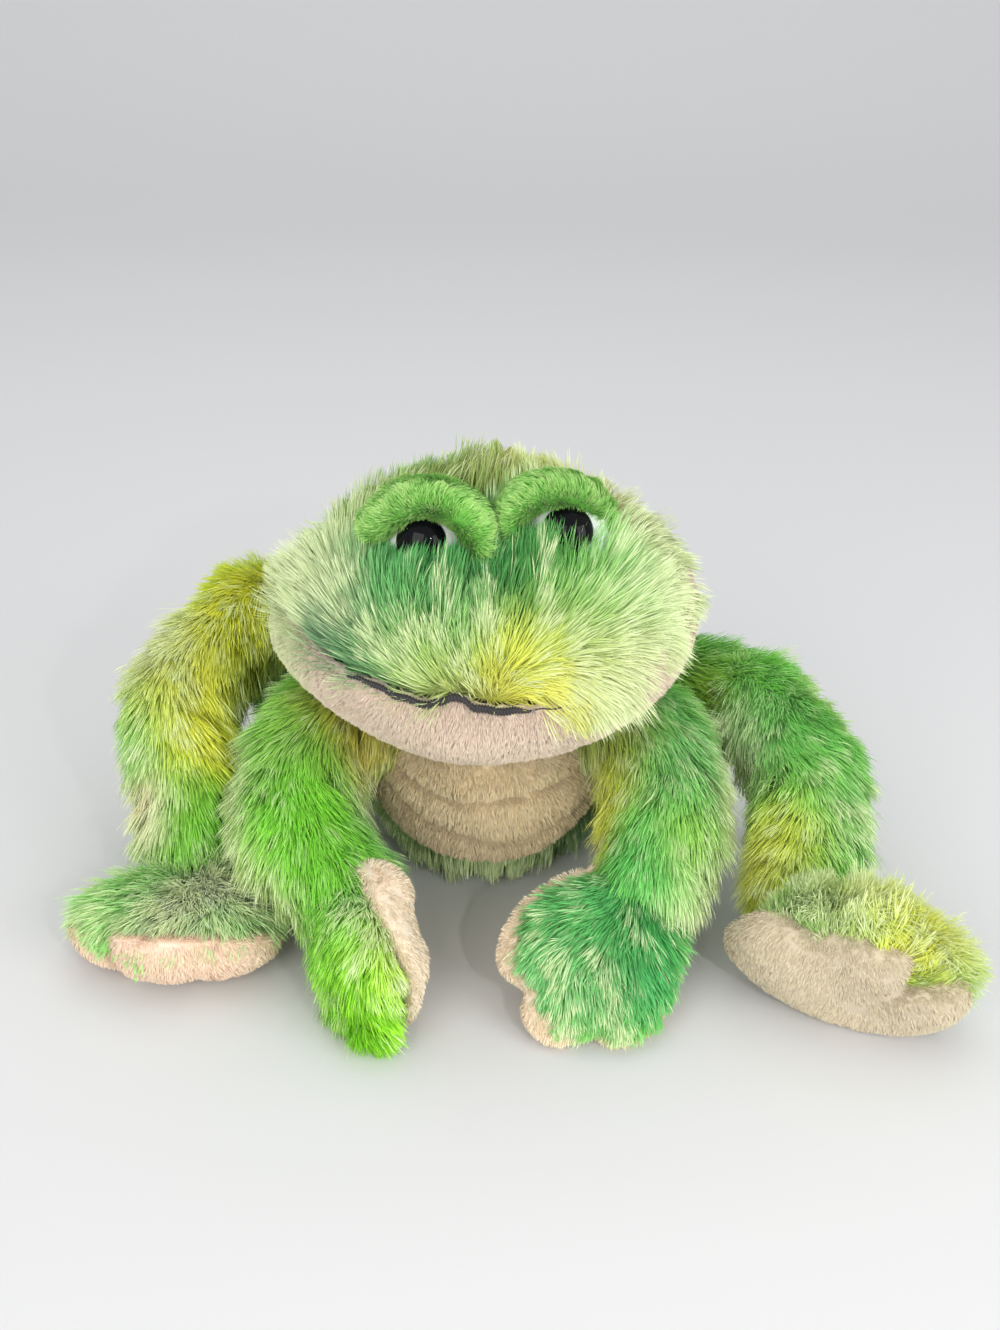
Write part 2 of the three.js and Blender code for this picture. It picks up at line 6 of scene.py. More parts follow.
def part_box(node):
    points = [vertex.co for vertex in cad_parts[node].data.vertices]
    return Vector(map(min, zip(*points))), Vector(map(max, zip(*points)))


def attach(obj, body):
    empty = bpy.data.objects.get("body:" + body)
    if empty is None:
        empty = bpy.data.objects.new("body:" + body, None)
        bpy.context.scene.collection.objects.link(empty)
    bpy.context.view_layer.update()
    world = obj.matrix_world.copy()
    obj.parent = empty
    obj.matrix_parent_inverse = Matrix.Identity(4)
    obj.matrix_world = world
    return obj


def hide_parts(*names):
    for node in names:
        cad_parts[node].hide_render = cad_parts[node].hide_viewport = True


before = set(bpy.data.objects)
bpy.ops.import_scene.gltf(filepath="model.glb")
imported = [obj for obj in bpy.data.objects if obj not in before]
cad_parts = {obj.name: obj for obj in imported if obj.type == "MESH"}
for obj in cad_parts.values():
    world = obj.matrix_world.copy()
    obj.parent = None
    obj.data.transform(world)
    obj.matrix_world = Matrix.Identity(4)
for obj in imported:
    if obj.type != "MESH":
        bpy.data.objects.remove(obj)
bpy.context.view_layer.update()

# Torso cover: an egg of long-pile tie-dyed plush, sewn from panels and stuffed, with a bag of beans
# low down that settles it on the floor. Its pile lies back and down, and shows as a green rim under
# the belly. All of the toy's sizes are in millimetres from the middle of the torso's footprint.
torso_low, torso_high = (np.array(corner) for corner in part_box("torso"))
panel_low = np.array(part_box("belly_panel")[0])
footprint = np.array(
    [(torso_low[0] + torso_high[0]) / 2, (panel_low[1] + torso_high[1]) / 2, 0]
)
torso_half, torso_height = (38.0, 46.0, 37.0), 37.2
settling = 3.4  # the power that fills the torso's lower half
floor_rest = 0.35  # how far cloth stays over the floor
detail = 1.0
most_triangles = 198000  # in one pile


def oval(half, down, round_, settle=2.0):
    """A ball with three half sizes: the level is the cosine of the angle down from the top, and the
    reach is the root of one less its square. Below the middle a higher power makes it fuller."""
    level = np.cos(np.pi * down)
    power = np.where(level < 0, settle, 2.0)
    reach = np.maximum(0, 1 - np.abs(level) ** power) ** (1 / power)
    turn = 2 * np.pi * round_
    return np.stack([reach * np.cos(turn), reach * np.sin(turn), level], -1) * half


def torso_form(down, round_):
    """The torso's egg, flattened where it would pass the floor."""
    p = oval(torso_half, down, round_, settling) + [0, 0, torso_height]
    p[..., 2] = np.maximum(p[..., 2], floor_rest)
    return p


def held(share):
    """A share held between none and one."""
    return np.clip(share, 0, 1)


def linear(*colour):
    """A colour of 0 to 255 as the straight-line values that a shader takes: the share to the 2.2,
    and a quarter more, up to 0.93, for the light that pile loses between its strands."""
    return np.minimum(0.93, 1.25 * (np.array(colour) / 255) ** 2.2)


def tie_dye(spots, base, base_tip=0.35, hold=0.06):
    """Blots of dye that fade into each other: each is a place, a reach, a colour and a value that
    whitens the tips. It weighs e to the minus square of its distance over its reach, and a cloth
    colour holds where none is near."""
    centre = np.array([s[:3] for s in spots], float)
    reach = np.array([s[3] for s in spots], float)
    dye = np.array([[*linear(*s[4:7]), s[7]] for s in spots])
    ground = np.array([*linear(*base), base_tip])

    def paint(at):
        weight = np.exp(-((at[:, None] - centre) ** 2).sum(2) / reach**2)
        return (weight @ dye + hold * ground) / (weight.sum(1) + hold)[:, None]

    return paint


def hidden_blots(seed, low, high, count, reach=16.0):
    """Blots at seeded places in a box, in the dye lot's own colours, for sides turned from view."""
    lot = [
        (112, 190, 84, 0.35), (88, 170, 100, 0.3),
        (196, 206, 74, 0.25), (186, 214, 150, 0.6),
        (140, 205, 92, 0.4), (216, 222, 168, 0.7),
    ]
    rng = np.random.default_rng(seed)
    places = rng.uniform(low, high, (count, 3))
    return [(*p, reach, *lot[k % len(lot)]) for k, p in enumerate(places)]


def put(name, data):
    """A new object of this data in the scene."""
    thing = bpy.data.objects.new(name, data)
    bpy.context.scene.collection.objects.link(thing)
    return thing


def sewn_cover(name, form, rows, sides, paint=None, shade=0.55):
    """A closed cover from a form of two shares, one down the piece and one round it: the first and
    last rows are single points, and each row closes on itself. Its dye is a vertex colour, darkened
    by the shade share as painted shade for the shade deep between the strands of the pile over it."""
    shares = np.linspace(0, 1, rows), np.arange(sides) / sides
    down, round_ = np.meshgrid(*shares, indexing="ij")
    grid = form(down, round_)
    points = np.concatenate([grid[0, :1], grid[1:-1].reshape(-1, 3), grid[-1, :1]])
    ring = 1 + np.arange((rows - 2) * sides).reshape(rows - 2, sides)
    nxt = np.roll(ring, -1, axis=1)
    quads = np.stack([ring[:-1], ring[1:], nxt[1:], nxt[:-1]], -1).reshape(-1, 4)
    end = len(points) - 1
    top = np.stack([np.zeros(sides, int), ring[0], nxt[0]], -1)
    bottom = np.stack([np.full(sides, end), nxt[-1], ring[-1]], -1)
    mesh = bpy.data.meshes.new(name)
    metres = points / 1000 + footprint
    mesh.from_pydata(metres.tolist(), [], quads.tolist() + top.tolist() + bottom.tolist())
    mesh.shade_smooth()
    if paint is not None:
        dye = mesh.attributes.new("dye", "FLOAT_COLOR", "POINT")
        colour = paint(points)
        # Painted shade: under pile the cover's colour is darkened by the shade share, standing for
        # the shade deep between the strands.
        colour[:, :3] *= shade
        colour[:, 3] = 1
        dye.data.foreach_set("color", colour.astype(np.float32).ravel())
    return put(name, mesh)


def patch(form, down, round_):
    """Points of a form, how they move with each share, by differences, the outward normals and the
    area that a unit of both shares covers."""
    step = 1e-3
    at = form(down, round_)
    by_down = (form(down + step, round_) - form(down - step, round_)) / (2 * step)
    by_round = (form(down, round_ + step) - form(down, round_ - step)) / (2 * step)
    normal = np.cross(by_down, by_round)
    area = np.linalg.norm(normal, axis=-1)
    return at, by_down, by_round, normal / np.maximum(area, 1e-9)[:, None], area


def unit(v):
    """Vectors over their lengths."""
    return v / np.maximum(np.linalg.norm(v, axis=-1, keepdims=True), 1e-9)


def wander(at, rng, low=7.0, high=16.0):
    """Waves over the cloth, of about minus one to one: the sum of five products of sines, whose
    pitches lie between low and high."""
    pitch, phase = rng.uniform(low, high, (5, 3)), rng.uniform(0, 2 * np.pi, (5, 3))
    return np.sin(at[:, None] / pitch + phase).prod(2).sum(1)


def lay_pile(
    name, form, paint, comb, length, per_cm2, where, seed, lift=(52, 28), width=0.27, tuft=26,
    spread=3.0, gather=0.55, droop=0.25, stray=15, ruffle=1.0, contrast=3.0, root=0.78,
    pale=linear(210, 220, 172), stops=(0, 0.42, 0.84, 1.0), stand=None,
):
    """Pile as thin flat blades with blunt ends that grow in tufts. Tufts fall at random over the
    form, evenly by area. A blade leaves at its root's lift and bends over to its tip's, along the
    comb's direction, which wanders in slow waves. It is drawn to its tuft's middle by a share that
    rises to the tip. Quick waves over the cloth make locks: they raise and lower length and tilt,
    and with the contrast they set which tufts have pale tips. Stand adds degrees at a place. Width
    and spread are in millimetres, stray in degrees, and the stops are where a blade bends."""
    stops, levels = np.array(stops), len(stops)
    rng = np.random.default_rng(seed)
    tries, few = 60000, 9000  # few tufts never share a place
    down, round_ = rng.uniform(0.01, 0.99, tries), rng.random(tries)
    at, by_down, by_round, normal, area = patch(form, down, round_)
    chance = area * where(at, normal)
    most = most_triangles / (2 * levels - 3)
    tufts = int(min(chance.mean() / 100 * per_cm2 * detail, most) / tuft)
    pick = rng.choice(tries, tufts, replace=tufts > few, p=chance / chance.sum())
    down, round_, by_down, by_round = (v[pick] for v in (down, round_, by_down, by_round))
    blades = tufts * tuft
    own = np.repeat(np.arange(tufts), tuft)

    def by_tuft():
        """A chance value that a tuft's blades share."""
        return rng.normal(size=tufts)[own]

    def by_blade():
        """A chance value for each blade."""
        return rng.normal(size=blades)

    turn, out = rng.uniform(0, 2 * np.pi, blades), spread * np.sqrt(rng.random(blades))
    u_size, v_size = (np.linalg.norm(v, axis=1)[own] for v in (by_down, by_round))
    down = np.clip(down[own] + out * np.cos(turn) / u_size, 0.004, 0.996)
    round_ = round_[own] + out * np.sin(turn) / np.maximum(v_size, spread)
    at, _, _, normal, _ = patch(form, down, round_)
    way = unit(comb(at, normal))
    way = unit(way - normal * (way * normal).sum(1)[:, None])
    side = np.cross(way, normal)
    swing = np.radians(stray * (wander(at, rng) + 0.5 * by_tuft() + 0.4 * by_blade()))
    way = way * np.cos(swing)[:, None] + side * np.sin(swing)[:, None]
    side = np.cross(way, normal)
    reach = length(at) if callable(length) else length
    locks = wander(at, rng, 1.0, 2.4)
    reach = reach * (1 + ruffle * (0.08 * locks + 0.1 * by_tuft()))
    reach *= rng.uniform(0.84, 1.06, blades)
    tilt = ruffle * (6 * locks + 5 * by_tuft() + 5 * by_blade())
    if stand is not None:
        tilt += stand(at)
    spine = [at - normal * 0.6]
    for k in range(levels - 1):
        share = (stops[k] + stops[k + 1]) / 2
        angle = np.radians(lift[0] + (lift[1] - lift[0]) * share + tilt)[:, None]
        step = way * np.cos(angle) + normal * np.sin(angle)
        step[:, 2] -= droop * share
        spine.append(spine[-1] + unit(step) * (reach * (stops[k + 1] - stops[k]))[:, None])
    spine = np.stack(spine, 1)
    heart = spine.reshape(tufts, tuft, levels, 3).mean(1)[own]
    drawn = gather * rng.uniform(-0.1, 1.0, tufts)[own, None] * stops**1.3
    spine += (heart - spine) * drawn[..., None]
    spine[..., 2] = np.maximum(spine[..., 2], 0.3)
    twist = np.radians(rng.uniform(-55, 55, blades))[:, None]
    across = side * np.cos(twist) + normal * np.sin(twist)
    thin = np.array([1, 1, 0.85])[: levels - 1, None]
    half = (width / 2 * rng.uniform(0.75, 1.25, blades))[:, None, None] * thin
    aside, count = across[:, None] * half, 2 * levels - 1
    pairs = np.stack([spine[:, :-1] - aside, spine[:, :-1] + aside], 2)
    points = np.concatenate([pairs.reshape(blades, count - 1, 3), spine[:, -1:]], 1)
    dye = paint(spine[:, 1:3].mean(1))
    bright = (1 + 0.06 * ruffle * by_tuft()) * rng.uniform(0.9, 1.1, blades)
    body = dye[:, :3] * bright[:, None]
    frost = 0.5 + contrast * (dye[:, 3] - 0.6 + 0.32 * locks + 0.12 * by_tuft())
    frost += 0.15 * by_blade()
    frost = np.clip(frost if contrast else dye[:, 3], 0.03, 0.92)
    tip = body + (pale - body) * frost[:, None]
    # Painted shade: the root share darkens each blade's two root points, standing for the shade
    # deep in the pile.
    shades = [body * root] * 2
    for k in range(1, levels - 1):
        shades += [body + (tip - body) * min(1, max(0.1, (stops[k] - 0.36) / 0.5))] * 2
    colour = np.ones((blades, count, 4), np.float32)
    colour[..., :3] = held(np.stack([*shades, tip], 1))
    mesh = bpy.data.meshes.new(name)
    corner = np.array([0, 1, 3, 2, 2, 3, 5, 4, 4, 5, 6] if levels == 4 else [0, 1, 3, 2, 2, 3, 4])
    mesh.vertices.add(blades * count)
    mesh.loops.add(blades * len(corner))
    mesh.polygons.add(blades * (levels - 1))
    metres = (points / 1000 + footprint).astype(np.float32)
    mesh.vertices.foreach_set("co", metres.ravel())
    first = np.arange(blades)[:, None]
    starts = 4 * np.arange(levels - 1)
    mesh.loops.foreach_set("vertex_index", (count * first + corner).ravel())
    mesh.polygons.foreach_set("loop_start", (len(corner) * first + starts).ravel())
    mesh.update(calc_edges=True)
    stored = mesh.attributes.new("dye", "FLOAT_COLOR", "POINT")
    stored.data.foreach_set("color", colour.ravel())
    # Each blade has an upright cell of its own in the bake map, three times as tall as wide.
    columns = int(np.ceil(np.sqrt(blades * 3)))
    rows = int(np.ceil(blades / columns))
    cell = np.stack([first[:, 0] % columns, first[:, 0] // columns], 1)
    over = np.append(np.tile([0.1, 0.9], levels - 1), 0.5)
    height = np.append(np.repeat(stops[:-1], 2), 1.0)
    inside = np.stack([over, 0.06 + 0.88 * height], 1)
    place = ((cell[:, None] + inside[corner]) / [columns, rows]).astype(np.float32)
    mesh.uv_layers.new(name="OFBake").data.foreach_set("uv", place.ravel())
    return put(name, mesh)


def finish(name, sockets):
    """A material, and its shader with these uniform values on its own sockets."""
    material = bpy.data.materials.new(name)
    material.use_nodes = True
    shader = material.node_tree.nodes["Principled BSDF"]
    for socket, value in sockets.items():
        shader.inputs[socket].default_value = value
    return material, shader


def fine_noise(material, scale):
    """The strength of a noise over the piece, and the material's nodes and links."""
    nodes, links = material.node_tree.nodes, material.node_tree.links
    place, noise = nodes.new("ShaderNodeTexCoord"), nodes.new("ShaderNodeTexNoise")
    noise.inputs["Scale"].default_value = scale
    links.new(place.outputs["Object"], noise.inputs["Vector"])
    return noise.outputs["Fac"], nodes, links


def pile_finish(name, roughness=0.6, sheen=0.15, flecks=0.14):
    """Dyed polyester pile: the blade's own dye, with a fine mottle of light and dark along it."""
    sockets = {"Roughness": roughness, "Specular IOR Level": 0.3}
    sockets |= {"Sheen Weight": sheen, "Sheen Roughness": 0.4}
    material, shader = finish(name, sockets)
    strength, nodes, links = fine_noise(material, 900)
    dye = nodes.new("ShaderNodeAttribute")
    dye.attribute_name = "dye"
    light = nodes.new("ShaderNodeMapRange")
    light.inputs["To Min"].default_value = 1 - flecks
    light.inputs["To Max"].default_value = 1 + flecks
    mix = nodes.new("ShaderNodeVectorMath")
    mix.operation = "SCALE"
    links.new(strength, light.inputs["Value"])
    links.new(dye.outputs["Color"], mix.inputs[0])
    links.new(light.outputs["Result"], mix.inputs["Scale"])
    links.new(mix.outputs["Vector"], shader.inputs["Base Color"])
    return material


def dress(piece, body, slot, material, *nodes, fill=None):
    """The piece gets its finish, rides with its body and stands for its nodes."""
    piece.data.materials.append(material)
    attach(piece, body)
    if nodes:
        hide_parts(*nodes)


long_pile = pile_finish("long_pile")
torso_spots = [
    (0, -48, 10, 26, 178, 200, 140, 0.6), (-30, -30, 12, 18, 160, 190, 120, 0.5),
    (34, -28, 14, 18, 84, 128, 76, 0.3), (38, -10, 30, 18, 90, 120, 70, 0.3),
    # The two dark green blots here, on the left side where the thigh leaves, are painted shade for
    # the deep shade between the left leg and the torso.
    (-40, 0, 40, 20, 52, 92, 52, 0.15), (-36, 20, 60, 18, 44, 84, 48, 0.1),
]
torso_spots += hidden_blots(3, (-45, 5, 0), (45, 55, 80), 16)
torso_dye = tie_dye(torso_spots, (112, 180, 90))


def off_belly(at, normal):
    """No pile under the belly panel, under the torso, or where the head sits on it."""
    on_panel = (at[:, 0] / 36) ** 2 + ((at[:, 2] - 40) / 23) ** 2 < 1
    on_panel &= at[:, 1] < 0
    under = (at[:, 2] < 2) & (normal[:, 2] < -0.5)
    under_head = (at[:, 2] > 55) & (at[:, 1] < 5)
    return ~on_panel & ~under & ~under_head


def torso_comb(at, normal):
    """Down, and to the front below the belly, where the pile makes a rim."""
    return np.array([0, 0.3, -1.0]) + held(-at[:, 1:2] / 40) * [0, -0.8, 0]


torso_cover = sewn_cover("torso_cover", torso_form, 41, 56, torso_dye)
dress(torso_cover, "torso", "pile_green", long_pile, "torso", fill=0.7)
torso_pile = lay_pile("torso_pile", torso_form, torso_dye, torso_comb, 9.5, 150, off_belly, seed=11)
dress(torso_pile, "torso", "pile_green", long_pile)

# Belly panel: an oval of short-napped cream plush let into the front of the torso. The torso slumps
# under the head, so that the panel lies in two or three soft level folds.
belly_half, belly_height = (38.0, 24.0), 40.0


def belly_form(down, round_):
    """A lens on the torso's front: its rim is the oval, its outside stands 2 mm proud of the egg
    and dips in a crease at two levels, and its back lies 5 mm in."""
    turn, spread = 2 * np.pi * round_, np.abs(np.sin(np.pi * down)) ** 0.8
    x = belly_half[0] * spread * np.cos(turn) - 2.0
    z = belly_height + belly_half[1] * spread * np.sin(turn)
    level = (z - torso_height) / 39.6
    power = np.where(level < 0, settling, 2.0)
    reach = np.maximum(0, 1 - np.abs(level) ** power) ** (1 / power)
    front = -51 * np.sqrt(np.maximum(0, reach**2 - (x / 44) ** 2))
    dome = np.sqrt(np.maximum(0, 1 - spread**2))
    above = z - 38.7 - 0.006 * (x + 3) ** 2 - 0.8 * np.sin(x / 6)
    below = z - 24.2 - 0.010 * (x - 4) ** 2 + 0.6 * np.sin(x / 5)
    fold = 2.4 * np.exp(-((above / 1.5) ** 2)) + 2.0 * np.exp(-((below / 1.5) ** 2))
    fold -= 1.0 * np.exp(-(((above - 4) / 3) ** 2)) + 1.0 * np.exp(-(((below - 4) / 3) ** 2))
    outside = -2.0 * dome**0.5 + fold * np.minimum(1, 2.5 * dome)
    return np.stack([x, front + np.where(down < 0.5, outside, 5 * dome), z], -1)


def napped(colour, tip=0.3, drift=0.05, seed=5):
    """Cloth of one colour that drifts a little over the piece in slow waves."""
    base = np.array([*linear(*colour), tip])
    phase = np.random.default_rng(seed).uniform(0, 6, (4, 3))

    def paint(at):
        wave = np.sin(at[:, None] / 9 + phase).prod(2).sum(1)
        shade = np.tile(base, (len(at), 1))
        shade[:, :3] *= (1 + drift * wave)[:, None]
        return shade

    return paint


nap_habit = dict(lift=(50, 30), width=0.33, tuft=6, spread=1.1, gather=0.3, droop=0.1, root=0.86)
nap_habit |= dict(stray=20, ruffle=0.5, contrast=0, stops=(0, 0.6, 1.0))
short_nap = pile_finish("short_nap", roughness=0.7, sheen=0.5, flecks=0.1)
belly_dye = napped((204, 184, 150), tip=0.15)
belly_panel = sewn_cover("belly_plush", belly_form, 73, 80, belly_dye, shade=0.88)
dress(belly_panel, "torso", "plush_cream", short_nap, "belly_panel", fill=0.6)
belly_nap = lay_pile(
    "belly_nap", belly_form, belly_dye,
    lambda at, normal: np.array([0.15, 0, -1.0]) + 0 * at, 3.2, 560,
    lambda at, normal: normal[:, 1] < 0.1, seed=12, **nap_habit,
)
dress(belly_nap, "torso", "plush_cream", short_nap)

# Bean bag of the torso: a pouch of plain woven cloth, part filled with plastic beans, in the pocket
# behind the belly panel. It is sewn into the belly seam and never shows.
bag_cloth = pile_finish("bag_cloth", roughness=0.85, sheen=0.1, flecks=0.08)


def bean_bag(name, centre, half, body, node, rows=np.eye(3)):
    """A slack pouch: a ball drawn in a little between the beans by a fine ripple."""

    def form(down, round_):
        p = oval(half, down, round_)
        ripple = 1 + 0.03 * np.sin(40 * down) * np.sin(12 * np.pi * round_)
        return (p * ripple[..., None]) @ rows + centre

    bag = sewn_cover(name, form, 17, 24, napped((204, 198, 182)), shade=1.0)
    dress(bag, body, "bag_cloth", bag_cloth, node, fill=0.5)


bean_bag("torso_beans", (0, -34, 38), (24, 8, 19), "torso", "bean_bag_torso")

# Head cover: a broad, low stuffed ball in the same long pile, combed up and out from the middle of
# the mouth, so that it fans over the face, stands in front of the eyes and sweeps past the cheeks.
head_middle, head_half = np.array([-2.0, -38.0, 96.2]), np.array([61.0, 46.0, 41.0])
roll_cos, roll_sin = np.cos(np.radians(4)), np.sin(np.radians(4))
roll_rows = np.array([[roll_cos, 0, roll_sin], [0, 1, 0], [-roll_sin, 0, roll_cos]])


def muzzled(p, half):
    """The crown narrows by 0.18 of its height's share to the 1.5, and the face swells forward by
    8 mm, most at 0.4 of the way down its lower half."""
    crown = np.maximum(0, p[..., 2] / half[2]) ** 1.5
    p[..., 0] *= 1 - 0.18 * crown
    ahead = np.maximum(0, -p[..., 1] / half[1])
    low = np.maximum(0, 1 - np.abs(p[..., 2] / half[2] + 0.4))
    p[..., 1] -= 8 * ahead * low
    return p @ roll_rows + head_middle


mouth_line = np.array(
    [(-61, 12.2), (-50, 7), (-41.5, 2.9), (-35.8, 0.9), (-30, 0.2), (-22.8, -2.4), (-17, -3.9)]
    + [(-13.8, -4.3), (-11, -3.4), (-7.8, -1.8), (-5, -2.6), (-1.9, -4.9), (3, -6.2), (7.9, -6.7)]
    + [(14.2, -7.2), (25, -8), (36, -6.2), (46, -2), (54, 3), (61, 9)]
)


def mouth_level(x):
    """The mouth's height on the face: through the named points, eased between each two."""
    k = np.clip(np.searchsorted(mouth_line[:, 0], x) - 1, 0, len(mouth_line) - 2)
    low, high = mouth_line[k], mouth_line[k + 1]
    share = held((x - low[..., 0]) / (high[..., 0] - low[..., 0]))
    share = 0.5 * share + 0.5 * share**2 * (3 - 2 * share)
    return low[..., 1] + (high[..., 1] - low[..., 1]) * share


def head_form(down, round_):
    """The head's ball 4.5 mm inside the pile, drawn in by up to 6 mm more below the mouth."""
    half = head_half - 4.5
    p = oval(half, down, round_)
    under = held((mouth_level(p[..., 0]) - p[..., 2]) / 6)
    front = held((12 - p[..., 1]) / 8)
    p *= (1 - 0.12 * under * front)[..., None]
    return muzzled(p, half)


head_spots = [
    (-16, -72, 121, 12, 58, 152, 78, -0.1), (0, -71, 124, 12, 46, 130, 62, -0.15),
    (16, -71, 125, 11, 70, 158, 76, 0.0), (-30, -70, 119, 9, 84, 170, 92, 0.15),
    (-40, -70, 112, 10, 152, 172, 136, 0.75), (-54, -53, 111, 13, 174, 190, 146, 0.85),
    (-58, -40, 100, 12, 176, 186, 146, 0.8), (-41, -74, 101, 9, 72, 130, 90, 0.25),
    (-34, -77, 98, 8, 96, 152, 92, 0.35), (-27, -77, 109, 9, 130, 190, 116, 0.65),
    (-18, -85, 102, 9, 186, 214, 130, 0.6), (-8, -80, 112, 9, 160, 206, 130, 0.6),
    (-12, -88, 95, 8, 206, 214, 128, 0.5), (7, -86, 101, 10, 246, 224, 104, 0.42),
    (15, -83, 106, 9, 204, 216, 90, 0.4), (10, -88, 95, 9, 250, 222, 92, 0.35),
    (22, -86, 96, 9, 214, 210, 120, 0.55), (31, -78, 106, 12, 196, 206, 136, 0.75),
    (41, -66, 112, 12, 164, 196, 124, 0.7), (54, -52, 108, 14, 196, 204, 156, 0.85),
    (35, -67, 120, 11, 130, 192, 106, 0.45), (22, -75, 115, 11, 142, 196, 100, 0.45),
    (44, -76, 96, 11, 206, 200, 160, 0.8), (0, -30, 136, 12, 136, 136, 54, 0.05),
    (-18, -28, 134, 12, 150, 164, 84, 0.35), (18, -26, 135, 12, 206, 214, 120, 0.6),
    (36, -32, 130, 16, 154, 148, 98, 0.6), (-42, -30, 126, 13, 176, 196, 130, 0.6),
]
head_spots += hidden_blots(7, (-60, -15, 60), (60, 20, 135), 16)
head_dye = tie_dye(head_spots, (168, 208, 130), 0.5)


def in_head(at):
    """Points in the head's own upright frame, from the middle of its ball."""
    return (at - head_middle) @ roll_rows.T


def face_comb(at, normal):
    """A fan: left of the middle its strands rise steeply from the mouth and turn out at the cheek,
    right of it they lean over more and more, and the lowest lie down over the mouth. Under the eyes
    they stand straight up, and past the brow they turn to the back and down."""
    x, y, z = in_head(at).T
    line = mouth_level(x)
    left = np.maximum(0, 2 - x)
    way = np.stack([np.where(x < 2, -0.25 * left, x - 2), 0 * x, z + 11], -1)
    way[:, 2] = np.where(x < 2, z - line + 9, way[:, 2])
    way[:, 0] -= 24 * np.clip((-x - 34) / 14, 0, 1.3) * np.clip((z - line - 1) / 9, 0.1, 1)
    over = held((x - 7) / 5) * held((line + 12 - z) / 8)
    way[:, 2] -= over * (22 + 0.5 * (x - 9))
    way[:, 0] *= 1 - 0.85 * under_eyes(at)
    way = unit(way)
    back = held((y - 2) / 26)[:, None]
    return way * (1 - 0.6 * back) + back * [0, 0.8, -0.9]


def under_eyes(at):
    """How much a place on the face lies under an eye, from none to one."""
    x, _, z = in_head(at).T
    near = [np.exp(-(((x - eye_x) / 11) ** 4)) for eye_x in (-17.0, 22.0)]
    return (near[0] + near[1]) * held((z - 8) / 8)


def face_reach(at):
    """Short by the mouth, and longer towards the cheeks, brow and back. Under the eyes each strand
    is as long as it takes to reach the pupil's middle."""
    x, y, z = in_head(at).T
    away = np.hypot(x - 4, z + 5)
    reach = 10.5 + 5.5 * held(away / 40)
    reach -= 5.5 * held((x - 36) / 12) + 1.5 * held((-x - 46) / 8)
    reach += 3 * held((x - 8) / 6) * held((mouth_level(x) + 9 - z) / 6)
    tip = np.where(x < 2, 34.0, 40.5)
    fringe = np.clip((tip - z) / 0.93, 4.0, 19.0)
    return np.where((under_eyes(at) > 0.25) & (z < 32) & (y < -20), fringe, reach)


eye_out, eye_ahead, eye_up, eye_aside = 19.0, 18.0, 30.5, 6.0
eye_centres = {}
for word, side in (("left", -1), ("right", 1)):
    in_ball = np.array([eye_aside + side * eye_out, -eye_ahead, eye_up])
    eye_centres[word] = in_ball @ roll_rows + head_middle


def on_upper_head(at, normal):
    """Pile above the mouth, clear of the eyes, and not where the head sits on the torso."""
    x, y, z = in_head(at).T
    jaw = (z < mouth_level(x) + 0.4) & (y < 12)
    eyes = np.zeros(len(at), bool)
    for centre in eye_centres.values():
        past = held((at[:, 1] - centre[1]) / 8)
        eyes |= np.linalg.norm((at - centre) * [0.85, 1, 1], axis=1) < 13.5 - 3 * past
    neck = (z < -24) & (y < 30)
    return ~jaw & ~eyes & ~neck


head_cover = sewn_cover("head_cover", head_form, 65, 96, head_dye)
dress(head_cover, "head", "pile_green", long_pile, "head_upper", fill=0.85)
brow = -45  # in front of this the face's pile grows, and behind it the crown's


def on_face(at, normal):
    """Pile in front of the brow, closer by the mouth."""
    x, _, z = in_head(at).T
    return on_upper_head(at, normal) * (at[:, 1] < brow) * (1 + 0.7 * (z < mouth_level(x) + 10))


face_pile = lay_pile(
    "face_pile", head_form, head_dye, face_comb, face_reach, 520, on_face, seed=21,
    stand=lambda at: under_eyes(at) * np.where(at[:, 0] < 0, 8, 26),
    tuft=36, spread=3.6, gather=0.7, width=0.23, lift=(46, 24), droop=0.18, stray=13,
)
dress(face_pile, "head", "pile_green", long_pile)
crown_pile = lay_pile(
    "crown_pile", head_form, head_dye, face_comb, 13.0, 220,
    lambda at, normal: on_upper_head(at, normal) * (at[:, 1] >= brow),
    seed=22, lift=(66, 44), stray=26, tuft=34, gather=0.9,
)
dress(crown_pile, "head", "pile_green", long_pile)

# Lower jaw: a crescent of short-napped pinkish cream plush below the mouth. It is stuffed with the
# head, so it rounds out like a lip and runs up to the cheeks at both ends.
jaw_swing = np.radians(108)


def jaw_form(along, round_):
    """A closed crescent wrapped on the head's ball: the first share swings from cheek to cheek,
    the second goes round its section, whose outside stands 1.5 mm proud and inside lies 8 mm in.
    It is drawn in a little at the lower left, and puckers under the stitches."""
    swing = (2 * along - 1) * jaw_swing
    x, y = head_half[0] * np.sin(swing), -head_half[1] * np.cos(swing)
    top = np.arcsin(np.clip(mouth_level(x) / head_half[2], -1, 1))
    bottom = np.radians(-78)
    fade = np.maximum(np.sin(np.pi * along), 0) ** 0.35
    turn = 2 * np.pi * round_
    latitude = top - (top - bottom) * fade * (0.5 - 0.5 * np.cos(turn))
    level = np.cos(latitude)
    p = np.stack([x * level, y * level, head_half[2] * np.sin(latitude)], -1)
    round_out = -np.sin(turn) * fade
    depth = np.where(round_out > 0, 1.5 * np.abs(round_out) ** 0.5, 8 * round_out)
    near = np.exp(-(((mouth_level(p[..., 0]) - p[..., 2]) / 5) ** 2))
    depth = depth - 0.5 * near * (1 + np.sin(p[..., 0] * 1.1 + 2 * np.sin(p[..., 0] / 7)))
    low_left = held((-p[..., 0] - 8) / 30) * held((-p[..., 2] - 3) / 12)
    depth = depth - 3.5 * low_left
    p *= 1 + (depth / np.linalg.norm(p, axis=-1))[..., None]
    return muzzled(p, head_half)


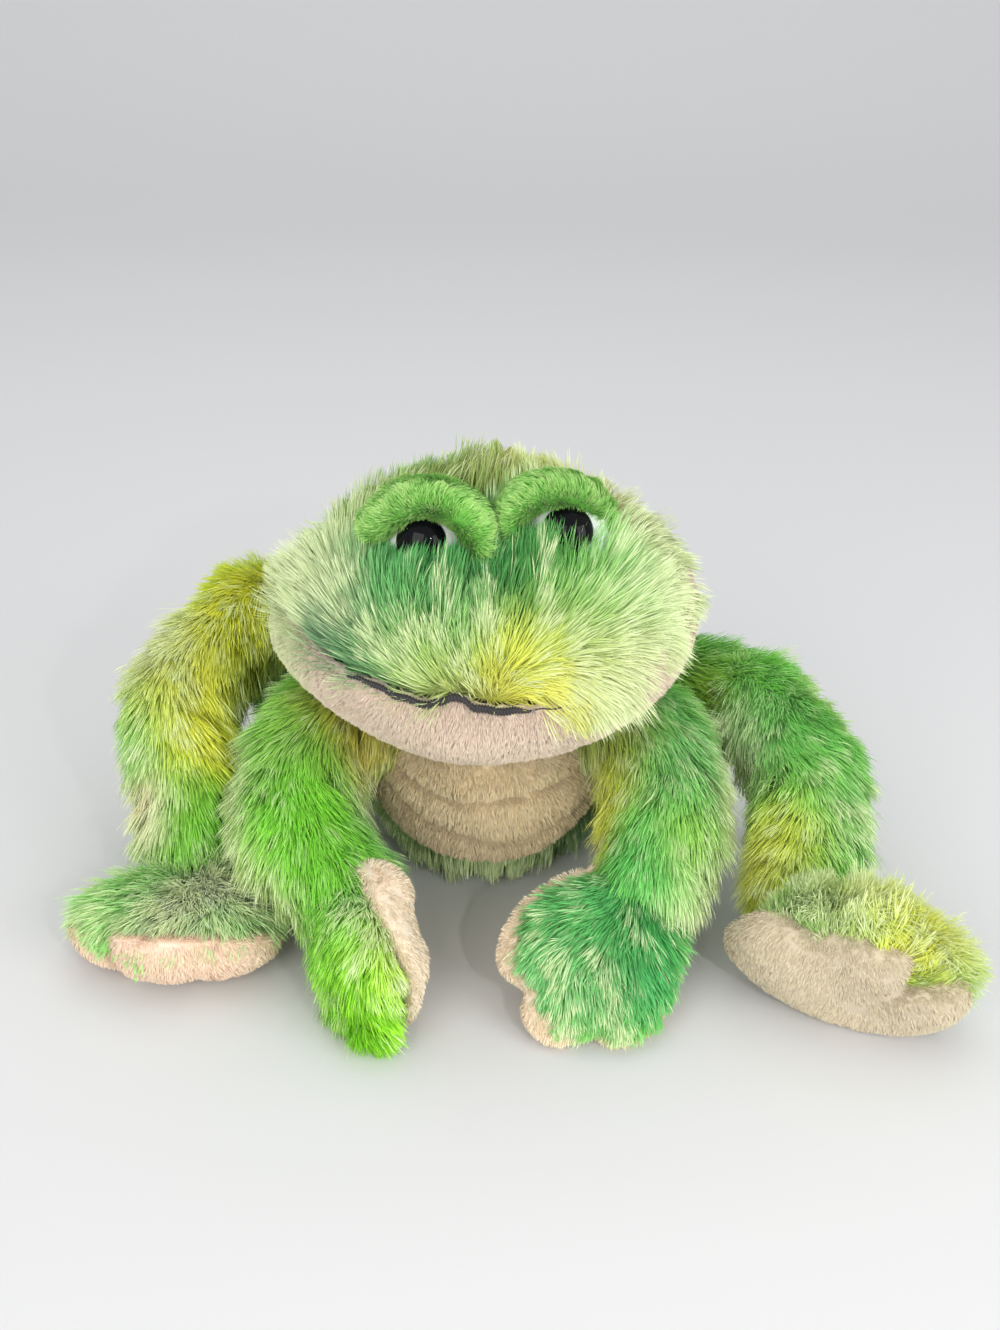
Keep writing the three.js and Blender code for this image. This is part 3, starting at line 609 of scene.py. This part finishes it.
def jaw_dye(at):
    """Pinkish cream, turning to a pale yellow green at the left cheek."""
    shade = napped((202, 181, 166), tip=0.14)(at)
    cheek = held((-at[:, 0] - 48) / 10)[:, None] * 0.8
    return shade * (1 - cheek) + cheek * np.array([*linear(178, 184, 140), 0.5])


jaw = sewn_cover("jaw_plush", jaw_form, 121, 56, jaw_dye, shade=0.88)
dress(jaw, "head", "plush_pink_cream", short_nap, "lower_jaw", fill=0.8)
jaw_nap = lay_pile(
    "jaw_nap", jaw_form, jaw_dye,
    lambda at, normal: unit(at - head_middle) * [1, 0.2, 0.4] - [0, 0, 0.8], 2.8, 455,
    lambda at, normal: (((at - head_middle) * normal).sum(1) > 0) * (at[:, 2] > 58.0),
    seed=23, **nap_habit,
)
dress(jaw_nap, "head", "plush_pink_cream", short_nap)

# Mouth: a thick line of black satin stitch worked over the seam between pile and jaw. The stitches
# lie side by side across the line, which wavers where the seam was drawn up.
def mouth_form(along, round_):
    """A flattened cord along the mouth: its middle follows the mouth with a small wave,
    its section is an oval, and a fast ripple of the radius shows the single stitches."""
    across = (2 * along - 1) * 38.5 + 2
    level = mouth_level(across) + 0.25 * np.sin(across * 0.9)
    half = head_half + 0.6
    share = np.maximum(0, 1 - (across / half[0]) ** 2 - (level / half[2]) ** 2)
    spine = np.stack([across, -half[1] * np.sqrt(share), level], -1)
    fade = np.maximum(np.sin(np.pi * along), 0) ** 0.25
    radius = fade * (1 + 0.16 * np.sin(across * 2 * np.pi / 0.8))
    radius = radius * (1 - 0.8 * held((across - 8) / 6))
    turn = 2 * np.pi * round_
    outward = unit(spine / half**2)
    upward = np.array([0, 0, 1.0]) - outward * outward[..., 2:]
    p = spine + outward * 0.5 + 1.15 * radius[..., None] * np.cos(turn)[..., None] * upward
    p = p + 0.8 * radius[..., None] * np.sin(turn)[..., None] * outward
    return muzzled(p, half)


thread, thread_shader = finish("mouth_thread", {"Roughness": 0.5, "Sheen Weight": 0.2})
strength, nodes, links = fine_noise(thread, 1400)
ramp = nodes.new("ShaderNodeValToRGB")
for element, grey in zip(ramp.color_ramp.elements, ((0.006, 0.005, 0.006), (0.035, 0.028, 0.032))):
    element.color = (*grey, 1)
links.new(strength, ramp.inputs["Fac"])
links.new(ramp.outputs["Color"], thread_shader.inputs["Base Color"])
mouth = sewn_cover("mouth_satin_stitch", mouth_form, 600, 10)
dress(mouth, "head", "thread_black", thread, "mouth_stitch")

# Eyes: a stuffed ball of white felt in a socket of the head, a polished black dome pressed through
# it on a stem, held by a washer behind, and a heavy lid of bright green plush over the top.
white_felt = pile_finish("white_felt", roughness=0.9, sheen=0.4, flecks=0.06)
gloss_black = {"Base Color": (0.004, 0.004, 0.005, 1), "Roughness": 0.05}
pupil_gloss, _ = finish("pupil_gloss", gloss_black | {"Specular IOR Level": 0.14})
washer_plastic = pile_finish("washer_plastic", roughness=0.45, sheen=0.0, flecks=0.03)
lid_nap = pile_finish("lid_nap", roughness=0.55)
lid_dye = napped((106, 178, 70), tip=0.5, drift=0.08)
lid_habit = nap_habit | dict(lift=(44, 18), pale=linear(206, 236, 150), root=0.6, ruffle=0.7)
lid_habit |= dict(contrast=0.35, width=0.27, gather=0.5, tuft=9)
eye_turns = {"left": (-8, 15), "right": (-1, 20)}  # degrees out and up
lid_lines = {
    "left": (
        ((-31.2, -57, 130.4), (-27.4, -59, 134.6), (-22.4, -60, 137.9), (-16.4, -61, 139.2))
        + ((-10.8, -62, 138.4), (-6.7, -64, 136.2), (-3.6, -66, 132.6), (-2.2, -68, 127.8)),
        (4.3, 5.2, 5.1, 4.7, 4.8, 5.2, 4.9, 3.8),
    ),
    "right": (
        ((4.6, -65, 132.8), (6.4, -63, 137.4), (10.0, -61, 140.4), (15.0, -60, 141.8))
        + ((20.4, -59.5, 141.6), (25.2, -58, 139.2), (29.2, -56, 134.2), (31.8, -55, 126.6)),
        (3.1, 4.3, 4.7, 4.4, 4.2, 4.0, 3.7, 3.1),
    ),
}


def stuffed_tube(line, radii, aside, deep=1.0):
    """A tube along a smooth line through named points, with its radius eased between the named
    ones and round ends. Its section may be deeper in one direction than in the other."""
    line, radii = np.array(line, float), np.array(radii, float)
    count = len(line)
    ends = np.concatenate([[2 * line[0] - line[1]], line, [2 * line[-1] - line[-2]]])
    t = np.linspace(0, count - 1, 241)
    k = np.minimum(t.astype(int), count - 2)
    f = (t - k)[:, None]
    a, b, c, d = ends[k], ends[k + 1], ends[k + 2], ends[k + 3]
    spine = b + 0.5 * f * (c - a + f * (2 * a - 5 * b + 4 * c - d + f * (3 * (b - c) + d - a)))
    ease = f[:, 0] ** 2 * (3 - 2 * f[:, 0])
    radius = radii[k] * (1 - ease) + radii[k + 1] * ease
    run = np.concatenate([[0], np.cumsum(np.linalg.norm(np.diff(spine, axis=0), axis=1))])
    ahead = unit(np.gradient(spine, run, axis=0))
    first = unit(aside - ahead * (ahead @ aside)[:, None])
    second = np.cross(ahead, first)
    whole = run[-1] + radii[0] + radii[-1]

    def form(down, round_):
        s = down * whole - radii[0]
        inside = np.clip(s, 0, run[-1])
        past = s - inside
        cap = np.where(past < 0, radii[0], radii[-1])
        tilt = held(np.abs(past) / cap) * np.pi / 2

        def pick(values):
            return np.stack([np.interp(inside, run, v) for v in values.T], -1)

        turn = 2 * np.pi * round_
        wide = (np.interp(inside, run, radius) * np.cos(tilt))[..., None]
        rim = np.cos(turn)[..., None] * pick(first) * deep
        rim = rim - np.sin(turn)[..., None] * pick(second)
        end = pick(ahead) * (np.sign(past) * cap * np.sin(tilt))[..., None]
        return pick(spine) + end + wide * rim

    return form


def eye_axes(out, up):
    """The eye's own axes as rows: across, back and up, turned out and up by two angles."""
    cos_out, sin_out = np.cos(np.radians(out)), np.sin(np.radians(out))
    cos_up, sin_up = np.cos(np.radians(up)), np.sin(np.radians(up))
    about_z = np.array([[cos_out, sin_out, 0], [-sin_out, cos_out, 0], [0, 0, 1]])
    about_x = np.array([[1, 0, 0], [0, cos_up, -sin_up], [0, sin_up, cos_up]])
    return about_x @ about_z @ roll_rows


def turned_form(profile, rows, centre):
    """A round piece: a profile of radius against distance ahead, taken by the first share along its
    length and turned round the eye's own axis by the second."""
    profile = np.array(profile, float)
    run = np.concatenate([[0], np.cumsum(np.hypot(*np.diff(profile, axis=0).T))])

    def form(down, round_):
        s = down * run[-1]
        radius, ahead = (np.interp(s, run, profile[:, k]) for k in (0, 1))
        turn = 2 * np.pi * round_
        p = np.stack([radius * np.cos(turn), -ahead, radius * np.sin(turn)], -1)
        return p @ rows + centre

    return form


ball_radius, dome_radius, dome_height, dome_foot = 12.9, 7, 4.6, 10.95
arc, rise = np.linspace(0, np.pi, 40), np.linspace(np.pi / 2, 0, 18)
ball_profile = np.stack([ball_radius * np.sin(arc), ball_radius * np.cos(arc)], 1)
dome = np.stack([dome_radius * np.cos(rise), dome_foot + dome_height * np.sin(rise)], 1)
pupil_profile = np.concatenate([dome, [[2, dome_foot], [2, -3], [0, -3.05]]])
felt_dye = napped((236, 238, 226), tip=0)
for word, side in (("left", -1), ("right", 1)):
    centre, rows = eye_centres[word], eye_axes(*eye_turns[word])
    ball_form = turned_form(ball_profile, rows, centre)
    ball = sewn_cover(f"eye_felt_{word}", ball_form, 40, 48, felt_dye, shade=1.0)
    dress(ball, "head", "felt_white", white_felt, f"eyeball_{word}", fill=0.9)
    pupil_form = turned_form(pupil_profile, rows, centre)
    pupil = sewn_cover(f"pupil_dome_{word}", pupil_form, 90, 48)
    dress(pupil, "head", "pupil_black", pupil_gloss, f"pupil_{word}")
    lid_line, lid_radii = lid_lines[word]
    lid_form = stuffed_tube(lid_line, lid_radii, (0, -1, 0.1), deep=1.8)
    lid = sewn_cover(f"lid_plush_{word}", lid_form, 73, 40, lid_dye, shade=0.7)
    dress(lid, "head", "plush_bright_green", lid_nap, f"eyelid_{word}", fill=0.8)
    nap = lay_pile(
        f"lid_nap_{word}", lid_form, lid_dye,
        lambda at, normal: (at - centre) * [1, 0.2, 0.6] + [0, 0, 3.0], 3.4, 900,
        lambda at, normal: normal[:, 1] < 0.6, seed=31 + side, **lid_habit,
    )
    dress(nap, "head", "plush_bright_green", lid_nap)
    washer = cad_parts[f"eye_washer_{word}"]
    washer.data.materials.clear()
    washer.data.materials.append(washer_plastic)

# Arms: stuffed tubes of long pile from the shoulder seam down and forward to the wrist. The pile
# runs along the arm, and its pale tips make a fringe on the outer edge.
arm_radii = (11, 14, 14.5, 15, 12)
limb_lines = {
    "arm_left": (
        (-28, -20, 54.2), (-48, -34, 53.2), (-55.5, -50, 45.2), (-54.5, -67, 35.2),
        (-42, -84, 28.2),
    ),
    "arm_right": (
        (28, -20, 54.2), (45, -34, 54.2), (51.5, -50, 46.2), (52.5, -63, 37.2),
        (49, -77, 30.2),
    ),
}
limb_spots = {
    "arm_left": [
        (-39, -45, 62, 12, 204, 196, 76, 0.1), (-34, -50, 52, 11, 210, 196, 100, 0.2),
        (-57, -60, 58, 12, 150, 206, 86, 0.15), (-52, -75, 48, 14, 132, 214, 52, 0.05),
        (-31, -62, 44, 9, 196, 208, 158, 0.6), (-31, -70, 38, 9, 120, 194, 96, 0.2),
        (-69, -60, 38, 12, 196, 220, 150, 0.8), (-63, -80, 26, 12, 190, 216, 130, 0.75),
        (-48, -84, 40, 10, 128, 204, 62, 0.1),
    ],
    "arm_right": [
        (43, -50, 61, 8, 240, 218, 96, 0.35), (40, -58, 52, 9, 252, 226, 84, 0.3),
        (32, -50, 48, 11, 250, 222, 70, 0.25), (36, -63, 41, 9, 252, 224, 84, 0.3),
        (34, -68, 32, 9, 252, 226, 96, 0.35), (46, -48, 65, 10, 108, 194, 106, 0.15),
        (57, -61, 59, 10, 136, 208, 120, 0.3), (42, -84, 43, 11, 108, 202, 104, 0.15),
        (59, -79, 46, 10, 160, 210, 92, 0.3), (67, -58, 42, 12, 218, 228, 176, 0.85),
        (62, -80, 28, 11, 200, 224, 160, 0.8), (56, -64, 52, 10, 118, 202, 96, 0.15),
    ],
}
limb_base = (138, 204, 84)


def along_line(line, sag=0.25):
    """The comb of a limb: the way that its line runs at its nearest points, and a little down."""
    line = np.array(line, float)
    points = np.concatenate([line[:-1] + (line[1:] - line[:-1]) * k for k in (0, 0.33, 0.67)])
    ways = np.tile(unit(line[1:] - line[:-1]), (3, 1))

    def comb(at, normal):
        near = np.linalg.norm(at[:, None] - points, axis=2)
        weight = np.exp(-((near / 14) ** 2))
        return unit(weight @ ways) - [0, 0, sag]

    return comb


def clear_of(*balls):
    """Pile is left off where the root lies inside a neighbour, given as balls."""

    def where(at, normal):
        keep = np.ones(len(at))
        for x, y, z, radius in balls:
            keep[np.linalg.norm(at - [x, y, z], axis=1) < radius] = 0
        return keep * ~((at[:, 2] < 1.5) & (normal[:, 2] < -0.6))

    return where


def furred_limb(name, radii, slot, density, seed, where, sag=0.0, length=12.5):
    """A limb's stuffed cover and the pile on it. The cloth under a loosely filled limb sags by the
    squared sine of the turn round its underside, times the sine of the share along to the 0.7."""
    under_turn = 0.25
    line = limb_lines[name]
    tube = stuffed_tube(line, radii, (0.2, 0, 1.0))

    def form(down, round_):
        p = tube(down, round_)
        under = held(np.sin(2 * np.pi * (round_ - under_turn))) ** 2
        p[..., 2] -= sag * under * np.sin(np.pi * held(down)) ** 0.7
        p[..., 2] = np.maximum(p[..., 2], floor_rest)
        return p

    points = np.array(line)
    low, high = points.min(0) + [-15, 14, -15], points.max(0) + [15, 20, 0]
    dye = tie_dye(limb_spots[name] + hidden_blots(seed, low, high, 6, 12), limb_base)
    cover = sewn_cover(f"{name}_cover", form, 49, 32, dye)
    dress(cover, name, slot, long_pile, name, fill=0.7)
    pile = lay_pile(
        f"{name}_pile", form, dye, along_line(line), length, density, where,
        seed=seed, lift=(44, 22), width=0.25, gather=0.4, contrast=1.6,
    )
    dress(pile, name, slot, long_pile)


clear_of_head = clear_of((0, 0, 40, 40), (*head_middle, 38))
furred_limb("arm_left", arm_radii, "pile_green", 375, 41, clear_of_head)
furred_limb("arm_right", arm_radii, "pile_green", 375, 42, clear_of_head)

# Hands: webbed paddles with three soft fingers. The back is long pile, the palm is a puffed pad of
# short cream plush, and the two are sewn edge to edge round a small bag of beans.
hand_size, foot_size = (58.0, 56.0, 25.0), (50.0, 68.0, 26.0)
paddle_places = {
    "hand_left": (hand_size, (-42, -84, 28.2), 0.4, (0.32, -0.78, -0.5), (0.85, 0.15, -0.15)),
    "hand_right": (hand_size, (49, -77, 30.2), 0.5, (-0.55, -0.75, -0.46), (-0.45, -0.05, -0.85)),
    "foot_left": (foot_size, (-90, -80, 12.2), 0, (-0.1, -0.95, 0.14), (0, -0.2, -0.95)),
    "foot_right": (foot_size, (106, -103, 20.2), 0, (0.1, -0.35, 0.9), (-0.3, -0.9, -0.3)),
}
paddle_spots = {
    "hand_left": [
        (-31, -105, 39, 9, 170, 216, 132, 0.7), (-24, -112, 36, 8, 206, 226, 140, 0.8),
        (-22, -123, 30, 9, 196, 222, 100, 0.7), (-38, -120, 20, 12, 156, 224, 50, 0.15),
        (-30, -130, 12, 10, 160, 226, 48, 0.15), (-45, -105, 24, 10, 146, 214, 70, 0.2),
    ],
    "hand_right": [
        (21, -96, 34, 11, 94, 182, 102, 0.3), (43, -95, 33, 12, 70, 170, 92, 0.15),
        (32, -116, 22, 10, 126, 188, 118, 0.55), (46, -112, 22, 10, 70, 178, 98, 0.1),
        (30, -105, 30, 10, 88, 180, 96, 0.3), (18, -112, 20, 9, 132, 206, 132, 0.5),
    ],
    "foot_left": [
        (-108, -84, 28, 11, 150, 216, 120, 0.5), (-118, -88, 18, 10, 176, 222, 144, 0.75),
        (-87, -90, 30, 11, 226, 246, 200, 0.7), (-74, -80, 30, 11, 222, 244, 206, 0.7),
        (-74, -97, 25, 10, 176, 222, 150, 0.7), (-104, -104, 12, 5, 96, 206, 60, 0.2),
    ],
    "foot_right": [
        (87, -98, 43, 11, 166, 190, 128, 0.7), (106, -98, 44, 11, 230, 228, 150, 0.8),
        (117, -108, 36, 9, 250, 232, 84, 0.4), (126, -104, 34, 10, 226, 222, 130, 0.8),
        (96, -90, 30, 12, 160, 200, 100, 0.5),
    ],
}


def paddle_frame(name):
    """The paddle's middle and its axes as rows: along, across and out of the palm or sole."""
    size, root, share, forward, palm_way = paddle_places[name]
    along = unit(np.array(forward))
    across = unit(np.cross(palm_way, along))
    middle = root + along * size[0] * share
    return size, middle, np.array([along, across, np.cross(along, across)])


def toe_lobes(turn, notches):
    """A paddle's outline as a share: one, less a bell curve of the angle at each notch, which has
    its own place, depth and width."""
    wrapped = (turn + np.pi) % (2 * np.pi) - np.pi
    return 1 - sum(d * np.exp(-(((wrapped - a) / w) ** 2)) for a, d, w in notches)


def paddle_form(size, middle, rows, inset, notches, seam=None, toe_rise=0.0, puffs=()):
    """A flattened oval drawn in at the heel, with the toes' lobes. Without a seam it is the whole
    paddle. With one it is the pad only, from 3 mm behind the seam out to the palm's full height,
    and the seam climbs to the back by the toe's rise. Puffs push the pad out in soft hills."""
    length, width, depth = np.array(size) / 2 - inset

    def form(down, round_):
        up, turn = np.pi * (0.5 - down), 2 * np.pi * round_
        toward = np.maximum(0, np.cos(turn))
        lobes = toe_lobes(turn, notches)
        heel = 1 - 0.3 * (0.5 - 0.5 * np.cos(turn)) ** 1.5
        flat = np.abs(np.cos(up)) ** (0.75 if seam is None else 0.62) * lobes
        out = depth * np.sin(up) * (0.6 + 0.4 * lobes)
        if seam is not None:
            edge = seam - toe_rise * toward * flat
            fuller = np.abs(np.sin(up)) ** 0.85
            out = edge + np.where(np.sin(up) > 0, (depth - edge) * fuller, -3 * fuller)
        along, across = length * flat * np.cos(turn), width * flat * heel * np.sin(turn)
        p = np.stack([along, across, out], -1) @ rows + middle
        for x, y, z, right, back, rise, reach in puffs:
            near = np.exp(-((p - [x, y, z]) ** 2).sum(-1) / reach**2)
            p = p + near[..., None] * [right, back, rise]
        p[..., 2] = np.maximum(p[..., 2], floor_rest)
        return p

    return form


back_notches = ((0.52, 0.12, 0.2), (-0.52, 0.12, 0.2))
pad_notches = ((0.52, 0.2, 0.22), (-0.52, 0.2, 0.22))


def furred_paddle(
    name, palm, density, seed, cloth, seam=3.0, toe_rise=0.0, notches=pad_notches, puffs=(),
    shown=(0, 0), short=1.0, length=12.5, trim=0.0,
):
    """A hand or foot: its pile back, the puffed pad of its palm or sole, and its bean bag. The
    pad may be shown further along and across, made short, and have its own notches and puffs. The
    pile has its length, less a trim towards the toes."""
    size, middle, rows = paddle_frame(name)
    back_form = paddle_form(size, middle, rows, 5.5, back_notches)
    pad_middle = middle + rows[0] * shown[0] + rows[1] * shown[1]
    pad_size = np.array([size[0] * short, *size[1:]])
    pad_form = paddle_form(pad_size, pad_middle, rows, 0.3, notches, seam, toe_rise, puffs)
    dye = tie_dye(paddle_spots[name], limb_base, 0.5)
    cover = sewn_cover(f"{name}_cover", back_form, 33, 60, dye)
    dress(cover, name, "pile_pale_green", long_pile, name, fill=0.6)

    def behind_seam(at):
        """How far a point lies behind the seam."""
        along, _, out = ((at - middle) @ rows.T).T
        return seam - toe_rise * held(along / (size[0] / 2)) - out

    def on_back(at, normal):
        along, across, _ = ((at - pad_middle) @ rows.T * 2 / pad_size).T
        outline = toe_lobes(np.arctan2(across, along), notches)
        past_pad = np.hypot(along, across) > outline - 0.08
        under = (at[:, 2] < 1.5) & (normal[:, 2] < -0.6)
        return ((behind_seam(at) > 0) | past_pad) & ~under

    def fringe(at):
        """Shorter by the seam, and trimmed towards the toes."""
        along = (at - middle) @ rows[0] / (size[0] / 2)
        grown = held(np.maximum(behind_seam(at) / 8, 2 * along - 1))
        return 7 + (length - 7) * grown - trim * held(along)

    pile = lay_pile(
        f"{name}_pile", back_form, dye,
        lambda at, normal: rows[0] + 0.4 * unit(at - middle) - [0, 0, 0.25],
        fringe, density, on_back, seed=seed, lift=(44, 16), stray=22, root=0.95,
    )
    dress(pile, name, "pile_pale_green", long_pile)
    nap_dye = napped(cloth, tip=0.12)
    pad = sewn_cover(f"{palm}_pad", pad_form, 37, 80, nap_dye, shade=0.9)
    dress(pad, name, "plush_cream", short_nap, palm, fill=0.75)
    nap = lay_pile(
        f"{palm}_nap", pad_form, nap_dye,
        lambda at, normal: 0.5 * unit(at - middle) + [0.15, -0.2, -1.0], 2.4, 440,
        lambda at, normal: (at[:, 2] > 1.0) | (normal[:, 2] > -0.5),
        seed=seed + 50, **nap_habit,
    )
    dress(nap, name, "plush_cream", short_nap)
    half = np.array(size) * [0.2, 0.2, 0.1]
    centre = middle + rows[0] * 0.12 * size[0] - rows[2] * (0.1 * size[2] - 3)
    bean_bag(f"{name}_beans", centre, half, name, f"bean_bag_{name}", rows)


furred_paddle(
    "hand_left", "palm_left", 560, 51, (230, 206, 182), toe_rise=-6.0,
    puffs=((-26, -92, 34, 5, -4, 5, 11), (-22, -106, 18, 5, -2, 2, 9)),
    shown=(-5, 1), short=0.85, trim=5.5,
)
furred_paddle(
    "hand_right", "palm_right", 560, 52, (226, 204, 178), seam=1.0, shown=(1.5, 1.5), trim=3.5
)

# Legs: long stuffed tubes that leave the hip sideways, rise to the knee and bend down and forward
# to the ankle. Thigh and shin are joined by a soft, loosely filled fold at the knee.
limb_lines |= {
    "thigh_left": ((-24, 20, 37.7), (-50, 20, 48.2), (-69, 14, 65.6), (-78, 6, 71.0)),
    "shin_left": ((-78, 6, 71.0), (-96.5, -22, 55.0), (-91, -50, 27.2)),
    "thigh_right": ((24, 20, 37.7), (48, 16, 43.4), (68, 4, 49.2), (87, -8, 49.2)),
    "shin_right": ((86, -8, 49.2), (98.5, -38, 39.6), (94, -74, 24.2)),
}
limb_spots |= {
    "thigh_left": [
        (-82, -2, 88, 12, 252, 238, 60, 0.35), (-70, 0, 84, 12, 206, 200, 60, 0.2),
        # The two dark green blots near the hip are painted shade for the deep shade between the
        # left leg and the torso.
        (-56, 8, 60, 12, 60, 108, 56, 0.1), (-45, 10, 45, 14, 42, 84, 46, 0.05),
    ],
    "shin_left": [
        (-80, -11, 84, 14, 252, 236, 48, 0.35), (-88, -44, 56, 11, 252, 238, 66, 0.25),
        (-92, -30, 66, 10, 226, 222, 84, 0.3), (-101, -39, 63, 9, 206, 220, 116, 0.5),
        (-107, -19, 74, 12, 220, 222, 164, 0.7), (-92, -59, 44, 8, 146, 202, 66, 0.35),
        (-86, -61, 36, 8, 124, 198, 62, 0.3), (-104, -56, 38, 9, 224, 210, 176, 0.8),
        (-70, -20, 60, 11, 150, 160, 50, 0.1), (-108, -45, 50, 9, 140, 200, 96, 0.5),
    ],
    "thigh_right": [
        (70, -15, 58, 11, 176, 196, 62, 0.15), (62, -8, 62, 10, 128, 190, 76, 0.2),
        (86, -18, 64, 11, 110, 196, 80, 0.15), (80, 0, 66, 12, 118, 194, 84, 0.2),
    ],
    "shin_right": [
        (98, -43, 57, 13, 116, 198, 92, 0.15), (88, -30, 60, 11, 106, 192, 80, 0.15),
        (89, -69, 40, 11, 214, 236, 86, 0.3), (82, -74, 28, 10, 250, 240, 96, 0.4),
        (108, -60, 46, 11, 150, 204, 130, 0.55), (80, -30, 50, 9, 186, 214, 160, 0.75),
        (104, -74, 34, 10, 132, 200, 96, 0.4),
    ],
}
in_torso, leg_pile, shin_radii = (0, 0, 40, 42), 12.0, (12.5, 13.5, 12.5)
for name, radii, slot, density, seed, balls, sag in (
    ("thigh_left", (11.5, 12.5, 13, 12.5), "pile_green", 215, 61, (in_torso,), 20.0),
    ("thigh_right", (11.5, 11.5, 12, 12), "pile_green", 215, 62, (in_torso,), 0.0),
    ("shin_left", shin_radii, "pile_pale_green", 375, 63, (), 0.0),
    ("shin_right", shin_radii, "pile_green", 375, 64, (), 0.0),
):
    furred_limb(name, radii, slot, density, seed, clear_of(*balls), sag, leg_pile)

# Feet: the same paddles as the hands, wider, with the same cream sole. The left lies flat, and the
# right stands on its edge and shows its sole.
furred_paddle(
    "foot_left", "sole_left", 500, 53, (226, 196, 174), toe_rise=8.0,
    notches=((0.62, 0.3, 0.16), (-0.45, 0.12, 0.15)), length=14.5,
)
furred_paddle(
    "foot_right", "sole_right", 500, 54, (194, 180, 156), seam=1.0,
    notches=((-0.62, 0.42, 0.2), (0.5, 0.1, 0.25)), puffs=((79, -92, 12, -9, 7, -1, 17),),
    shown=(-4, 0), short=0.84, length=15.0,
)

# Stage, light and camera: a plain pale floor that rises behind, soft lamps above, and the
# photograph's view, which looks down by 26.9 degrees from 287 mm up.
stage_mesh = bpy.data.meshes.new("studio_sweep")
rungs, sink = 33, 0.0002
run = np.linspace(0, 1, rungs)
depth = np.where(run < 0.5, -1.2 + 3.2 * run, 0.4 + 0.9 * np.sin((run - 0.5) * np.pi))
rise = np.where(run < 0.5, 0.0, 1.4 * (1 - np.cos((run - 0.5) * np.pi)) ** 1.4)
sides = np.repeat([-2.5, 2.5], rungs)
sweep = np.stack([sides, np.tile(depth + 0.6, 2), np.tile(rise, 2) - sink], 1)
step = np.arange(rungs - 1)
panels = np.stack([step, step + rungs, step + rungs + 1, step + 1], 1)
stage_mesh.from_pydata(sweep.tolist(), [], panels.tolist())
stage_mesh.shade_smooth()
paper, _ = finish("studio_paper", {"Base Color": (0.74, 0.735, 0.73, 1), "Roughness": 0.8})
stage_mesh.materials.append(paper)
put("studio_sweep", stage_mesh)

lit_middle = np.array([0, -0.03, 0.05])
for name, place, size, power, colour in (
    ("key_lamp", (-0.5, -1.15, 0.6), 0.8, 7.6, (1.0, 0.985, 0.955)),
    ("fill_lamp", (0.85, -0.8, 0.45), 0.7, 5.4, (0.98, 0.99, 1.0)),
    ("top_lamp", (0.0, 0.3, 1.2), 1.0, 2.6, (1.0, 1.0, 1.0)),
    ("catch_light", (0.22, -0.62, 0.42), 0.02, 0.7, (1.0, 1.0, 1.0)),
):
    lamp = bpy.data.lights.new(name, "AREA")
    lamp.size, lamp.energy, lamp.color = size, power, colour
    holder = put(name, lamp)
    holder.location = place
    holder.rotation_mode = "QUATERNION"
    holder.rotation_quaternion = Vector(lit_middle - place).to_track_quat("-Z", "Y")

world = bpy.data.worlds.new("studio_world")
world.use_nodes = True
sky = world.node_tree.nodes["Background"]
sky.inputs["Color"].default_value = (0.9, 0.92, 0.95, 1)
sky.inputs["Strength"].default_value = 0.74
bpy.context.scene.world = world

camera = bpy.data.cameras.new("photo_camera")
sensor, focal_pixels, frame_pixels = 36.0, 1545, 1330
camera.sensor_width, camera.lens = sensor, sensor * focal_pixels / frame_pixels
down_degrees, roll_degrees = 26.86, 1.15
tilt = Euler((np.radians(90 - down_degrees), 0, 0)).to_matrix().to_4x4()
roll = Euler((0, 0, np.radians(roll_degrees))).to_matrix().to_4x4()
spot = Matrix.Translation((footprint[0] + 0.003, footprint[1] - 0.452, 0.287))
view = put("photo_camera", camera)
view.matrix_world = spot @ tilt @ roll
bpy.context.scene.camera = view
bpy.context.scene.view_settings.view_transform = "Standard"
